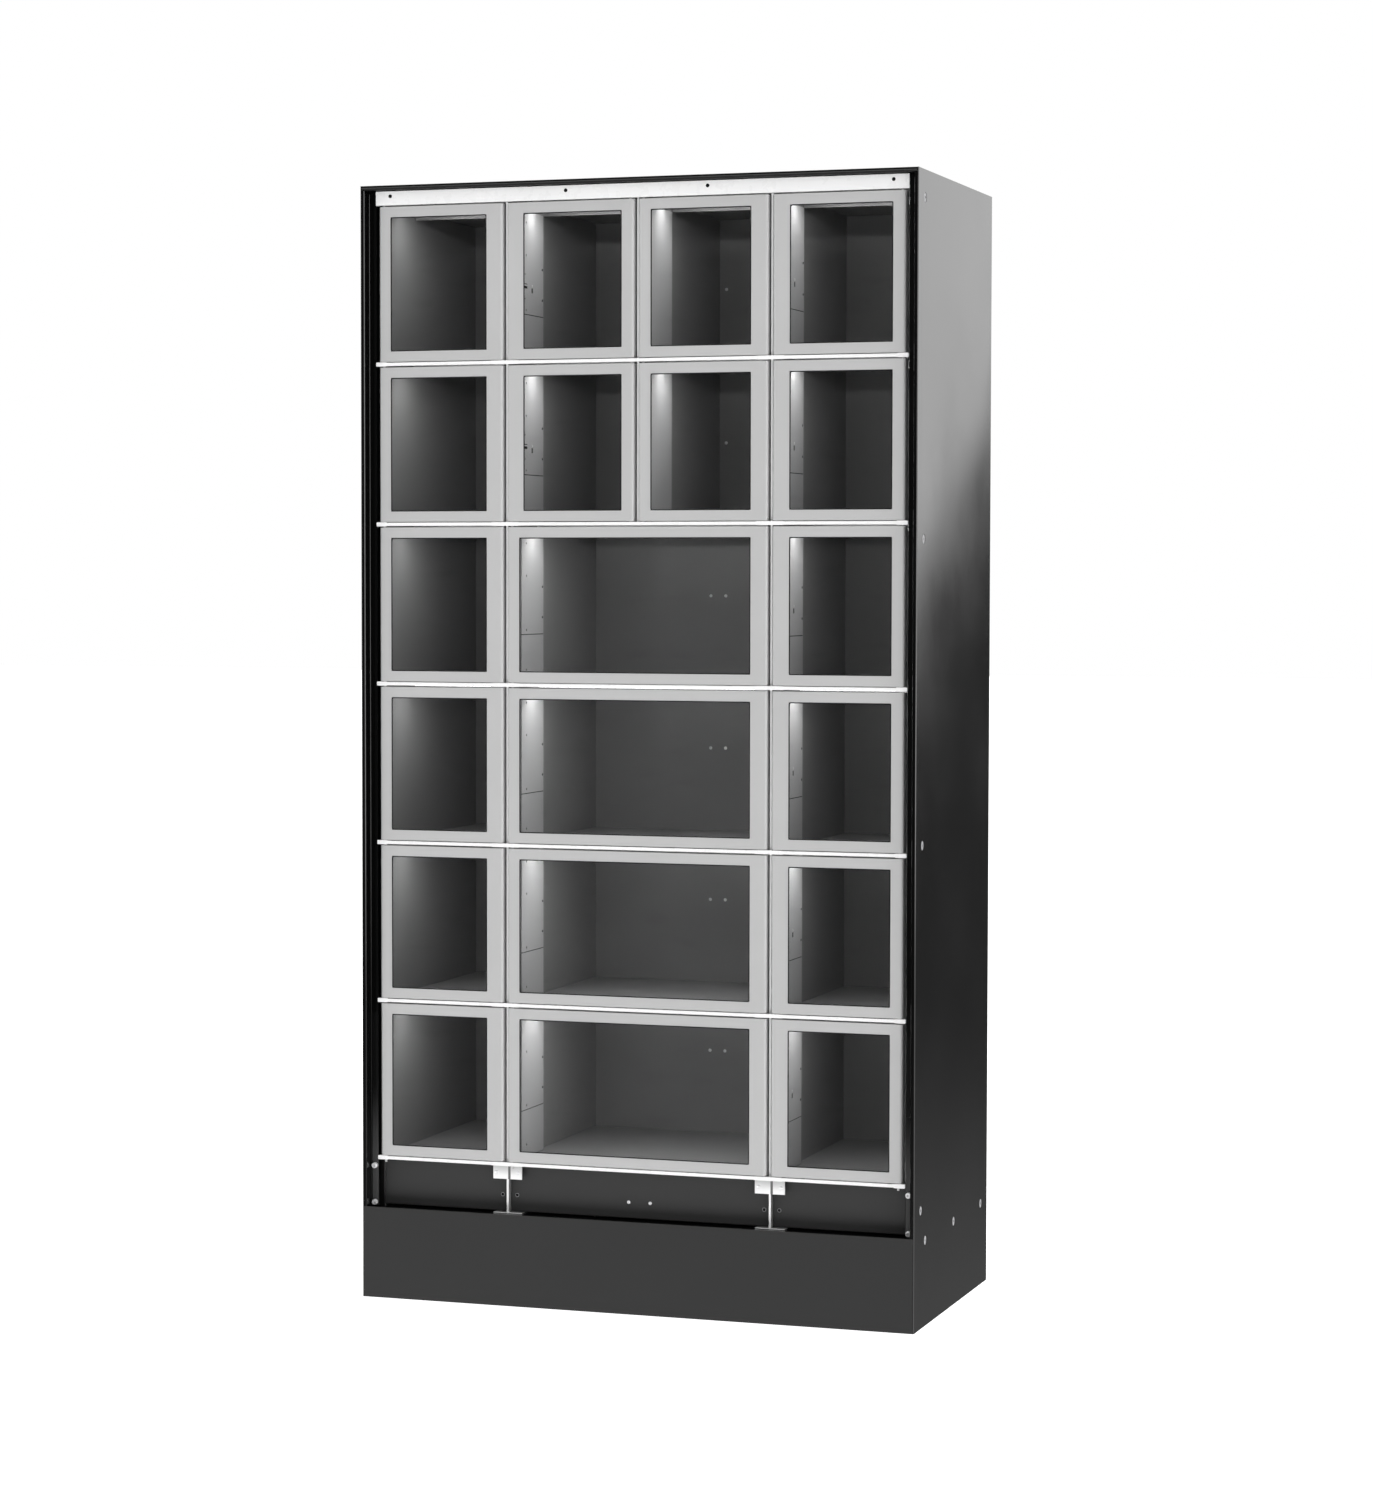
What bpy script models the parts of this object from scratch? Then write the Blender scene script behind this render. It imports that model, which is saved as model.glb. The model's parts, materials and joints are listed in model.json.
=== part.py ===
"""Issue locker with twenty glazed doors: a black steel cabinet, white shelf noses, grey doors.

Run with blender --background --python part.py, or from the text editor. Metres, +Z up.
X runs left to right, the front faces -Y, and the floor is Z = 0 under the cabinet's middle.
Depths are measured from the foremost plane of the cabinet, backwards.
"""
import math

import bmesh
import bpy
from mathutils import Matrix, Vector

# Cabinet
WIDTH = 1.000
DEPTH = 0.510
HEIGHT = 1.940
SHEET = 0.0015
SEAM = 0.0003
BEND_RADIUS = 0.0022
BEND_STEPS = 3
OVERRUN = 0.005

# Side panels: narrow front hem, inner return, post flange, rear flange
HEM_WIDTH = 0.0076
FLANGE_DEPTH = 0.0225
FLANGE_END = 0.0206
REAR_FLANGE = 0.018

# Round recesses that let the side screws' heads lie flush in the side panels
RECESS_RADIUS = 0.0082
RECESS_SINK = 0.001
RECESS_SIDES = 24
EDGE_RECESS_DEPTH = 0.0445
EDGE_RECESS_HEIGHTS = (1.894, 1.328, 0.816, 0.201)
FOOT_RECESS_HEIGHT = 0.146
FOOT_RECESS_DEPTHS = (0.075, 0.268, 0.4615)

# Top panel, kick plate and base tray
LIP_HEIGHT = 0.008
LIP_RETURN = 0.012
REAR_LIP = 0.018
KICK_HEIGHT = 0.160
KICK_RETURN = 0.0225
TRAY_DROP = 0.0035
TRAY_LIP = 0.030
COVER_INSET = 0.003
COVER_FOOT = 0.020

# Grid of compartments, the rows from the top down
ROW_KINDS = ("narrow", "narrow", "wide", "wide", "wide", "wide")
COLUMNS = 4
CELL_INSET = 0.02405
FLOOR_LEVEL = 0.2475
CEILING_DROP = 0.0269
REAR_SPACE = 0.035
WALL_FIT = 0.00035

# Shelves: solid nose bar in front, sheet deck, stiffener under the deck
FACE_DEPTH = 0.020
NOSE_HEIGHT = 0.0056
NOSE_DEPTH = 0.0097
NOSE_FIT = 0.0004
STIFFENER_DEPTH = 0.190
STIFFENER_THICKNESS = 0.002
STIFFENER_HEIGHT = 0.0154
HEADER_FIT = 0.0005

# Partitions: flat core with a lock duct on each side
PARTITION_THICKNESS = 0.0033
SLOT_FIT = 0.0004
DUCT_WIDTH = 0.010
DUCT_DEPTH = 0.128
DUCT_SETBACK = 0.0063
DUCT_WALL = 0.0015
FOOT_WIDTH = 0.0245
FOOT_DEPTH = 0.030
BRACKET_WIDTH = 0.053
BRACKET_HEIGHT = 0.0245
BRACKET_THICKNESS = 0.0020

# Side liners
LINER_FIT = 0.0004
LINER_SETBACK = 0.0053
LINER_TAIL = 0.010

# Filler panel under the lowest shelf
FILLER_DEPTH = 0.042
FILLER_FLANGE = 0.0035
FILLER_INSET = 0.0025
FILLER_FIT = 0.0015

# Doors
DOOR_THICKNESS = 0.020
DOOR_SHEET = 0.0015
DOOR_EDGE_RADIUS = 0.0042
DOOR_EDGE_STEPS = 4
DOOR_SIDE_GAP = 0.0028
DOOR_TOP_GAP = 0.0028
DOOR_BOTTOM_GAP = 0.0015
BORDER_HINGE = 0.0215
BORDER_LOCK = 0.0294
BORDER_LEVEL = 0.0178
WINDOW_OVERLAP = 0.006
WINDOW_THICKNESS = 0.003

# Hinge pins, turning in holes through the shelf noses
PIN_RADIUS = 0.002
PIN_FIT = 0.00045
PIN_EDGE = 0.0072
PIN_SETBACK = 0.0055
PIN_ENGAGEMENT = 0.0024
PIN_TAIL = 0.0055
PIN_SIDES = 12

# Latch tongues, reaching into slots in the lock ducts
TONGUE_INSET = 0.001
TONGUE_THICKNESS = 0.002
TONGUE_HEIGHT = 0.014
TONGUE_ROOT = 0.008
TONGUE_LENGTH = 0.016
TONGUE_FIT = 0.0016

# Places worked out from the sizes above
ROWS = len(ROW_KINDS)
NARROW_ROWS = ROW_KINDS.count("narrow")
COLUMN_PITCH = (WIDTH - 2 * CELL_INSET + PARTITION_THICKNESS) / COLUMNS
ROW_PITCH = (HEIGHT - CEILING_DROP - FLOOR_LEVEL) / ROWS
CEILING_LEVEL = FLOOR_LEVEL + ROWS * ROW_PITCH
CELL_HALF_WIDTH = WIDTH / 2 - CELL_INSET
PANEL_REAR = DEPTH - SHEET - SEAM
WALL_DEPTH = DEPTH - REAR_SPACE
NOSE_BACK = FACE_DEPTH + NOSE_DEPTH
NOSE_HALF_LENGTH = WIDTH / 2 - FLANGE_END - NOSE_FIT
PARTITION_FRONT = NOSE_BACK + SLOT_FIT
PARTITION_REAR = WALL_DEPTH - SEAM
DOOR_BACK = FACE_DEPTH + DOOR_THICKNESS
BRACKET_BACK = PARTITION_FRONT + BRACKET_THICKNESS
DUCT_FRONT = DOOR_BACK + DUCT_SETBACK
DUCT_BACK = DUCT_FRONT + DUCT_DEPTH
LINER_FRONT = DOOR_BACK + LINER_SETBACK
TRAY_LEVEL = KICK_HEIGHT - TRAY_DROP
PARTITION_BOTTOM = TRAY_LEVEL + SEAM
FOOT_TOP = PARTITION_BOTTOM + SEAM + SHEET
FILLER_BOTTOM = FOOT_TOP + SEAM
FILLER_TOP = FLOOR_LEVEL - NOSE_HEIGHT - FILLER_FIT
PARTITION_TOP = CEILING_LEVEL - SHEET - SEAM
BRACKET_TOP = FLOOR_LEVEL - NOSE_HEIGHT - SEAM
DOOR_HEIGHT = ROW_PITCH - NOSE_HEIGHT - DOOR_TOP_GAP - DOOR_BOTTOM_GAP
DOOR_PLAY = PARTITION_THICKNESS + 2 * DOOR_SIDE_GAP

COLOURS = {
    "black_steel": ((0.008, 0.008, 0.008, 1.0), 0.28, 0.0),
    "dark_steel": ((0.047, 0.047, 0.047, 1.0), 0.45, 0.0),
    "white_steel": ((0.80, 0.80, 0.80, 1.0), 0.40, 0.0),
    "grey_liner": ((0.30, 0.30, 0.30, 1.0), 0.45, 0.0),
    "grey_door": ((0.52, 0.52, 0.52, 1.0), 0.45, 0.0),
    "clear_pane": ((0.85, 0.88, 0.88, 0.25), 0.05, 0.0),
}


def y_at(depth):
    """World Y of a depth behind the foremost plane."""
    return depth - DEPTH / 2


def shelf_level(row):
    """Top of the shelf under a row, rows counted from the top."""
    return FLOOR_LEVEL + (ROWS - row) * ROW_PITCH


def column_line(line):
    """World X of a partition line, lines counted from the left side."""
    return (line - COLUMNS / 2) * COLUMN_PITCH


def clear_scene():
    for item in list(bpy.data.objects):
        bpy.data.objects.remove(item, do_unlink=True)


def make_collection(name):
    group = bpy.data.collections.new(name)
    bpy.context.scene.collection.children.link(group)
    return group


def make_material(kind):
    colour, roughness, metallic = COLOURS[kind]
    material = bpy.data.materials.new(kind)
    material.use_nodes = True
    shader = material.node_tree.nodes["Principled BSDF"]
    shader.inputs["Base Color"].default_value = colour
    shader.inputs["Roughness"].default_value = roughness
    shader.inputs["Metallic"].default_value = metallic
    shader.inputs["Alpha"].default_value = colour[3]
    material.diffuse_color = colour
    return material


clear_scene()
LOCKER = make_collection("locker")
CUTTERS = make_collection("cutters")
MATERIALS = {kind: make_material(kind) for kind in COLOURS}


def add_object(name, mesh, group):
    item = bpy.data.objects.new(name, mesh)
    group.objects.link(item)
    return item


def mesh_from(bm, name):
    mesh = bpy.data.meshes.new(name)
    bm.to_mesh(mesh)
    bm.free()
    return mesh


def add_piece(name, mesh, kind):
    """A sub-part of the locker, with its own material."""
    piece = add_object(name, mesh, LOCKER)
    mesh.materials.clear()
    mesh.materials.append(MATERIALS[kind])
    return piece


def add_block(bm, low, high):
    """Add a block between two opposite corners, given in any order."""
    low, high = Vector(low), Vector(high)
    size = Vector([abs(b - a) for a, b in zip(low, high)])
    place = Matrix.Translation((low + high) / 2) @ Matrix.Diagonal(size).to_4x4()
    bmesh.ops.create_cube(bm, size=1, matrix=place)


def add_peg(bm, x, y, low, high, radius):
    """Add an upright round peg."""
    place = Matrix.Translation((x, y, (low + high) / 2))
    bmesh.ops.create_cone(bm, cap_ends=True, segments=PIN_SIDES, radius1=radius,
                          radius2=radius, depth=high - low, matrix=place)


def evaluated_mesh(item, name):
    """The mesh of an object with its modifiers, welded."""
    graph = bpy.context.evaluated_depsgraph_get()
    mesh = bpy.data.meshes.new_from_object(item.evaluated_get(graph))
    mesh.name = name
    bm = bmesh.new()
    bm.from_mesh(mesh)
    bmesh.ops.remove_doubles(bm, verts=bm.verts, dist=SEAM / 30)
    bm.to_mesh(mesh)
    bm.free()
    return mesh


def prism(name, outline, low, high, turn):
    """A flat outline, drawn as a filled 2D curve, as thick as from low to high along its normal."""
    curve = bpy.data.curves.new(name, "CURVE")
    curve.dimensions = "2D"
    curve.fill_mode = "BOTH"
    curve.extrude = (high - low) / 2
    spline = curve.splines.new("POLY")
    spline.points.add(len(outline) - 1)
    for point, (a, b) in zip(spline.points, outline):
        point.co = (a, b, 0, 1)
    spline.use_cyclic_u = True
    item = add_object(name, curve, CUTTERS)
    bpy.context.view_layer.update()
    mesh = evaluated_mesh(item, name)
    bpy.data.objects.remove(item, do_unlink=True)
    bpy.data.curves.remove(curve)
    mesh.transform(turn @ Matrix.Translation((0, 0, (low + high) / 2)))
    return mesh


UPRIGHT = Matrix.Identity(4)
LENGTHWAYS = Matrix(((0, 0, 1, 0), (1, 0, 0, 0), (0, 1, 0, 0), (0, 0, 0, 1)))


def rounded(path):
    """A sheet's path with each fold as an arc. The face side is on the right of the path."""
    points = [Vector(path[0])]
    for before, corner, after in zip(path, path[1:], path[2:]):
        corner = Vector(corner)
        back = (Vector(before) - corner).normalized()
        ahead = (Vector(after) - corner).normalized()
        turns_left = (-back).cross(ahead) > 0
        radius = BEND_RADIUS if turns_left else BEND_RADIUS - SHEET
        half = back.angle(ahead) / 2
        centre = corner + (back + ahead).normalized() * (radius / math.sin(half))
        first = corner + back * (radius / math.tan(half)) - centre
        last = corner + ahead * (radius / math.tan(half)) - centre
        sweep = first.angle(last) * (1 if first.cross(last) > 0 else -1)
        for step in range(BEND_STEPS + 1):
            points.append(centre + Matrix.Rotation(sweep * step / BEND_STEPS, 2) @ first)
    points.append(Vector(path[-1]))
    return points


def folded_sheet(name, path, low, high, turn, kind):
    """A sheet folded along a path and as long as from low to high, as an open surface made thick."""
    bm = bmesh.new()
    points = rounded(path)
    rails = [[bm.verts.new((p.x, p.y, level)) for p in points] for level in (low, high)]
    for i in range(len(points) - 1):
        bm.faces.new((rails[0][i], rails[0][i + 1], rails[1][i + 1], rails[1][i]))
    mesh = mesh_from(bm, name)
    mesh.transform(turn)
    piece = add_piece(name, mesh, kind)
    shell = piece.modifiers.new("Thickness", "SOLIDIFY")
    shell.thickness = SHEET
    shell.offset = -1
    shell.use_even_offset = True
    return piece


def cut(piece, mesh):
    """Cut a piece with a mesh, kept as a wire object among the cutters."""
    cutter = add_object(piece.name + "_cutter", mesh, CUTTERS)
    cutter.hide_render = True
    cutter.display_type = "WIRE"
    step = piece.modifiers.new("Cut", "BOOLEAN")
    step.operation = "DIFFERENCE"
    step.object = cutter


def join(piece, mesh):
    """Add a mesh's volume to a piece."""
    adder = add_object(piece.name + "_adder", mesh, CUTTERS)
    adder.hide_render = True
    adder.display_type = "WIRE"
    step = piece.modifiers.new("Join", "BOOLEAN")
    step.operation = "UNION"
    step.object = adder


def blocks(name, corners):
    bm = bmesh.new()
    for low, high in corners:
        add_block(bm, low, high)
    return mesh_from(bm, name)


def side_recesses(name, side):
    """The round cutters for a side panel's screw heads."""
    bm = bmesh.new()
    reach = RECESS_SINK + OVERRUN
    middle = side * (WIDTH / 2 - RECESS_SINK + reach / 2)
    places = [(EDGE_RECESS_DEPTH, height) for height in EDGE_RECESS_HEIGHTS]
    places += [(depth, FOOT_RECESS_HEIGHT) for depth in FOOT_RECESS_DEPTHS]
    for depth, height in places:
        place = Matrix.Translation((middle, y_at(depth), height)) @ Matrix.Rotation(math.pi / 2, 4, "Y")
        bmesh.ops.create_cone(bm, cap_ends=True, segments=RECESS_SIDES, radius1=RECESS_RADIUS,
                              radius2=RECESS_RADIUS, depth=reach, matrix=place)
    return mesh_from(bm, name)


def build_side_panel(name, side):
    """Outer skin with hem, return and post flange in front. side is -1 left, 1 right."""
    outer = WIDTH / 2
    path = [
        (-outer + REAR_FLANGE, y_at(PANEL_REAR)),
        (-outer, y_at(PANEL_REAR)),
        (-outer, y_at(0)),
        (-outer + HEM_WIDTH, y_at(0)),
        (-outer + HEM_WIDTH, y_at(FLANGE_DEPTH)),
        (-outer + FLANGE_END, y_at(FLANGE_DEPTH)),
    ]
    if side > 0:
        path = [(-x, y) for x, y in reversed(path)]
    panel = folded_sheet(name, path, 0, HEIGHT, UPRIGHT, "black_steel")
    skin = side * (outer - SHEET)
    inside = side * (outer - FLANGE_END - OVERRUN)
    before, behind = y_at(-OVERRUN), y_at(FLANGE_DEPTH + SHEET + OVERRUN)
    rear_zone = y_at(PANEL_REAR - SHEET - OVERRUN)
    rear_end = y_at(DEPTH + OVERRUN)
    cut(panel, blocks(name + "_cutter", [
        ((skin, before, -OVERRUN), (inside, behind, KICK_HEIGHT + SEAM)),
        ((skin, before, HEIGHT - LIP_HEIGHT - SEAM), (inside, behind, HEIGHT + OVERRUN)),
        ((skin, rear_zone, HEIGHT - REAR_LIP - SEAM), (inside, rear_end, HEIGHT + OVERRUN)),
    ]))
    cut(panel, side_recesses(name + "_recesses", side))
    return panel


def build_side_liner(name, side):
    """Cell wall folded out to the skin in front and behind."""
    wall = -CELL_HALF_WIDTH
    outer = -WIDTH / 2 + SHEET + LINER_FIT
    front, rear = y_at(LINER_FRONT), y_at(WALL_DEPTH + SHEET + LINER_TAIL)
    path = [(outer, front), (wall, front), (wall, rear), (outer, rear)]
    if side > 0:
        path = [(-x, y) for x, y in reversed(path)]
    return folded_sheet(name, path, PARTITION_BOTTOM, PARTITION_TOP, UPRIGHT, "grey_liner")


def build_casing():
    """Top panel, kick plate, base tray and rear cover, between the side panels' skins."""
    half = WIDTH / 2 - SHEET - SEAM
    rear = y_at(PANEL_REAR)
    top = [
        (rear, HEIGHT - REAR_LIP),
        (rear, HEIGHT),
        (y_at(0), HEIGHT),
        (y_at(0), HEIGHT - LIP_HEIGHT),
        (y_at(LIP_RETURN), HEIGHT - LIP_HEIGHT),
    ]
    folded_sheet("top_panel", top, -half, half, LENGTHWAYS, "black_steel")
    kick = [(y_at(0), KICK_HEIGHT), (y_at(0), 0), (y_at(KICK_RETURN), 0)]
    folded_sheet("kick_plate", kick, -half, half, LENGTHWAYS, "dark_steel")
    tray_front, tray_rear = y_at(SHEET + SEAM), y_at(PANEL_REAR - SHEET - SEAM)
    tray = [
        (tray_rear, 0),
        (tray_rear, TRAY_LEVEL),
        (tray_front, TRAY_LEVEL),
        (tray_front, TRAY_LEVEL - TRAY_LIP),
    ]
    folded_sheet("base_tray", tray, -half, half, LENGTHWAYS, "black_steel")
    cover_half = WIDTH / 2 - COVER_INSET
    add_piece("rear_cover", blocks("rear_cover", [
        ((-cover_half, y_at(DEPTH - SHEET), COVER_FOOT), (cover_half, y_at(DEPTH), HEIGHT - COVER_INSET)),
    ]), "black_steel")


def build_rear_wall():
    half = CELL_HALF_WIDTH - WALL_FIT
    add_piece("rear_wall", blocks("rear_wall", [
        ((-half, y_at(WALL_DEPTH), PARTITION_BOTTOM), (half, y_at(WALL_DEPTH + SHEET), PARTITION_TOP)),
    ]), "grey_liner")


def build_filler_panel():
    """Front sheet under the lowest shelf, folded back at its foot and slit for the partitions."""
    half = CELL_HALF_WIDTH - FILLER_INSET
    face = y_at(FILLER_DEPTH)
    path = [(face, FILLER_TOP), (face, FILLER_BOTTOM), (y_at(FILLER_DEPTH + FILLER_FLANGE), FILLER_BOTTOM)]
    panel = folded_sheet("filler_panel", path, -half, half, LENGTHWAYS, "dark_steel")
    slits = []
    for line in (1, COLUMNS - 1):
        x, reach = column_line(line), PARTITION_THICKNESS / 2 + SLOT_FIT
        slits.append(((x - reach, face - OVERRUN, FILLER_BOTTOM + SHEET),
                      (x + reach, face + OVERRUN, FILLER_TOP + OVERRUN)))
    cut(panel, blocks("filler_panel_cutter", slits))


def partition_blocks(x, front, rear, low, high, grow):
    """A partition's core and its ducts as two blocks, grown for the slots that they pass."""
    core = PARTITION_THICKNESS / 2 + grow
    wide = PARTITION_THICKNESS / 2 + DUCT_WIDTH + grow
    duct_front, duct_back = y_at(DUCT_FRONT - grow), y_at(DUCT_BACK + grow)
    return [((x - core, front, low), (x + core, rear, high)),
            ((x - wide, duct_front, low), (x + wide, duct_back, high))]


def tongue_span():
    """Distances from a partition's core at which the latch tongue's two faces run."""
    near = DOOR_SIDE_GAP + TONGUE_INSET
    return near, near + TONGUE_THICKNESS


def tongue_level(row):
    return shelf_level(row) + DOOR_BOTTOM_GAP + DOOR_HEIGHT / 2


def add_partition(name, x, low):
    """Partition from a level up to the ceiling, with a hollow lock duct on each side."""
    front, rear = y_at(PARTITION_FRONT), y_at(PARTITION_REAR)
    sheet, ducts = partition_blocks(x, front, rear, low, PARTITION_TOP, 0)
    piece = add_piece(name, blocks(name, [sheet]), "grey_liner")
    join(piece, blocks(name + "_ducts", [ducts]))
    core = PARTITION_THICKNESS / 2
    hollow = []
    for side in (-1, 1):
        inner, outer = x + side * core, x + side * (core + DUCT_WIDTH - DUCT_WALL)
        hollow.append(((inner, y_at(DUCT_FRONT + DUCT_WALL), low - OVERRUN),
                       (outer, y_at(DUCT_BACK - DUCT_WALL), PARTITION_TOP + OVERRUN)))
    cut(piece, blocks(name + "_hollow", hollow))
    return piece


def build_outer_partition(name, line, slots):
    """Full-height partition on its feet. slots lists (row, side) of the latches it takes."""
    x = column_line(line)
    piece = add_partition(name, x, PARTITION_BOTTOM)
    core = PARTITION_THICKNESS / 2
    near, far = tongue_span()
    openings = []
    for row, side in slots:
        middle, reach = tongue_level(row), TONGUE_HEIGHT / 2 + TONGUE_FIT
        openings.append(((x + side * (core + near - TONGUE_FIT), y_at(DUCT_FRONT - OVERRUN), middle - reach),
                         (x + side * (core + far + TONGUE_FIT), y_at(DUCT_FRONT + OVERRUN), middle + reach)))
    cut(piece, blocks(name + "_slots", openings))
    passage = y_at(FILLER_DEPTH - SLOT_FIT), y_at(FILLER_DEPTH + FILLER_FLANGE + SLOT_FIT)
    cut(piece, blocks(name + "_passage", [
        ((x - FOOT_WIDTH, passage[0], FOOT_TOP), (x + FOOT_WIDTH, passage[1], FILLER_BOTTOM + SHEET + SEAM)),
    ]))
    bracket, foot = BRACKET_WIDTH / 2, core + FOOT_WIDTH
    proud, foot_low = y_at(PARTITION_FRONT - SEAM), PARTITION_BOTTOM + SEAM
    join(piece, blocks(name + "_trim", [
        ((x - bracket, proud, BRACKET_TOP - BRACKET_HEIGHT), (x + bracket, y_at(BRACKET_BACK), BRACKET_TOP)),
        ((x - foot, proud, foot_low), (x + foot, y_at(PARTITION_FRONT + FOOT_DEPTH), FOOT_TOP)),
    ]))


def door_layout(row):
    """Doors of a row as (label, first line, last line, hinge side)."""
    if ROW_KINDS[row - 1] == "narrow":
        return [("left", 0, 1, -1), ("centre_left", 1, 2, 1), ("centre_right", 2, 3, -1), ("right", 3, 4, 1)]
    return [("left", 0, 1, -1), ("wide", 1, 3, -1), ("right", 3, 4, 1)]


def hinge_x(first, last, hinge):
    """World X of a door's hinge pins."""
    line = first if hinge < 0 else last
    return column_line(line) - hinge * (DOOR_PLAY / 2 + PIN_EDGE)


def shelf_outline(level, upstand):
    """Side view of a shelf: nose bar, deck, stiffener, and an upstand where it carries the header."""
    deck, nose = level - SHEET, level - NOSE_HEIGHT
    face, nose_back = y_at(FACE_DEPTH), y_at(NOSE_BACK)
    rib, rib_back = y_at(STIFFENER_DEPTH), y_at(STIFFENER_DEPTH + STIFFENER_THICKNESS)
    rib_foot, rear = level - STIFFENER_HEIGHT, y_at(PARTITION_REAR)
    top = [(rear, level), (face, level)]
    if upstand:
        top = [(rear, level), (face + SHEET, level), (face + SHEET, level + upstand), (face, level + upstand)]
    under = [(face, nose), (nose_back, nose), (nose_back, deck), (rib, deck), (rib, rib_foot),
             (rib_back, rib_foot), (rib_back, deck), (rear, deck)]
    return top + under


def build_shelf(name, row, kind):
    """Shelf under a row, or the ceiling panel with the header for row 0."""
    level = shelf_level(row)
    ceiling = row == 0
    upstand = HEIGHT - LIP_HEIGHT - HEADER_FIT - level if ceiling else 0
    outline = shelf_outline(level, upstand)
    mesh = prism(name, outline, -NOSE_HALF_LENGTH, NOSE_HALF_LENGTH, LENGTHWAYS)
    piece = add_piece(name, mesh, kind)
    below, above = level - STIFFENER_HEIGHT - OVERRUN, level + OVERRUN
    behind = y_at(WALL_DEPTH + OVERRUN)
    half, end = CELL_HALF_WIDTH - WALL_FIT, NOSE_HALF_LENGTH + OVERRUN
    trims = [((side * half, y_at(NOSE_BACK), below), (side * end, behind, above)) for side in (-1, 1)]
    cut(piece, blocks(name + "_ends", trims))
    slot_top = level - SHEET if ceiling else above
    lines = [1, COLUMNS - 1]
    if row < NARROW_ROWS:
        lines.append(COLUMNS / 2)
    for line in lines:
        for block in partition_blocks(column_line(line), y_at(NOSE_BACK), behind, below, slot_top, SLOT_FIT):
            cut(piece, blocks(name + "_slot", [block]))
    places = set()
    for near_row in (row, row + 1):
        if 1 <= near_row <= ROWS:
            places |= {round(hinge_x(a, b, hinge), 9) for _, a, b, hinge in door_layout(near_row)}
    bm = bmesh.new()
    for x in sorted(places):
        top = level if ceiling else level + OVERRUN
        add_peg(bm, x, y_at(FACE_DEPTH + PIN_SETBACK), level - NOSE_HEIGHT - OVERRUN, top, PIN_RADIUS + PIN_FIT)
    cut(piece, mesh_from(bm, name + "_pins"))


def door_frame_mesh(name, width, hinge, pin_down):
    """Folded door pan with a window, hinge pins and a latch tongue. The origin is on the hinge axis."""
    hinge_edge, lock_edge = hinge * PIN_EDGE, hinge * (PIN_EDGE - width)
    face, back = -PIN_SETBACK, DOOR_THICKNESS - PIN_SETBACK
    bm = bmesh.new()
    add_block(bm, (hinge_edge, face, 0), (lock_edge, back, DOOR_HEIGHT))
    front = [e for e in bm.edges
             if all(abs(v.co.y - face) < SEAM for v in e.verts) and abs(e.verts[0].co.x - e.verts[1].co.x) < SEAM]
    bmesh.ops.bevel(bm, geom=front, offset=DOOR_EDGE_RADIUS, segments=DOOR_EDGE_STEPS, profile=0.5,
                    affect="EDGES", clamp_overlap=True)
    pan = add_object(name, mesh_from(bm, name), CUTTERS)
    inner = hinge * (PIN_EDGE - DOOR_SHEET), hinge * (PIN_EDGE - width + DOOR_SHEET)
    aperture = hinge * (PIN_EDGE - BORDER_HINGE), hinge * (PIN_EDGE - width + BORDER_LOCK)
    cavity = blocks(name + "_cavity", [
        ((inner[0], face + DOOR_SHEET, DOOR_SHEET), (inner[1], back + OVERRUN, DOOR_HEIGHT - DOOR_SHEET))])
    hole = blocks(name + "_window", [
        ((aperture[0], face - OVERRUN, BORDER_LEVEL), (aperture[1], face + OVERRUN, DOOR_HEIGHT - BORDER_LEVEL))])
    cut(pan, round_cavity(cavity, face + DOOR_SHEET))
    cut(pan, hole)
    bm = bmesh.new()
    add_peg(bm, 0, 0, -pin_down, DOOR_SHEET / 2, PIN_RADIUS)
    add_peg(bm, 0, 0, DOOR_HEIGHT - DOOR_SHEET / 2, DOOR_HEIGHT + DOOR_TOP_GAP + PIN_ENGAGEMENT, PIN_RADIUS)
    join(pan, mesh_from(bm, name + "_pins"))
    near = hinge * (PIN_EDGE - width + TONGUE_INSET)
    far = hinge * (PIN_EDGE - width + TONGUE_INSET + TONGUE_THICKNESS)
    middle = DOOR_HEIGHT / 2
    join(pan, blocks(name + "_tongue", [
        ((near, back - TONGUE_ROOT, middle - TONGUE_HEIGHT / 2), (far, back + TONGUE_LENGTH, middle + TONGUE_HEIGHT / 2))]))
    bpy.context.view_layer.update()
    mesh = evaluated_mesh(pan, name)
    for item in [pan] + [step.object for step in pan.modifiers]:
        bpy.data.objects.remove(item, do_unlink=True)
    return mesh


def round_cavity(mesh, front):
    """Round the cavity's front corners so the pan's bends keep their thickness."""
    bm = bmesh.new()
    bm.from_mesh(mesh)
    edges = [e for e in bm.edges
             if all(abs(v.co.y - front) < SEAM for v in e.verts) and abs(e.verts[0].co.x - e.verts[1].co.x) < SEAM]
    bmesh.ops.bevel(bm, geom=edges, offset=DOOR_EDGE_RADIUS - DOOR_SHEET, segments=DOOR_EDGE_STEPS, profile=0.5,
                    affect="EDGES", clamp_overlap=True)
    bm.to_mesh(mesh)
    bm.free()
    return mesh


def window_mesh(name, width, hinge):
    """Clear pane behind the door's face."""
    front = DOOR_SHEET + SEAM - PIN_SETBACK
    left = hinge * (PIN_EDGE - BORDER_HINGE + WINDOW_OVERLAP)
    right = hinge * (PIN_EDGE - width + BORDER_LOCK - WINDOW_OVERLAP)
    low = BORDER_LEVEL - WINDOW_OVERLAP
    return blocks(name, [((left, front, low), (right, front + WINDOW_THICKNESS, DOOR_HEIGHT - low))])


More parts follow.
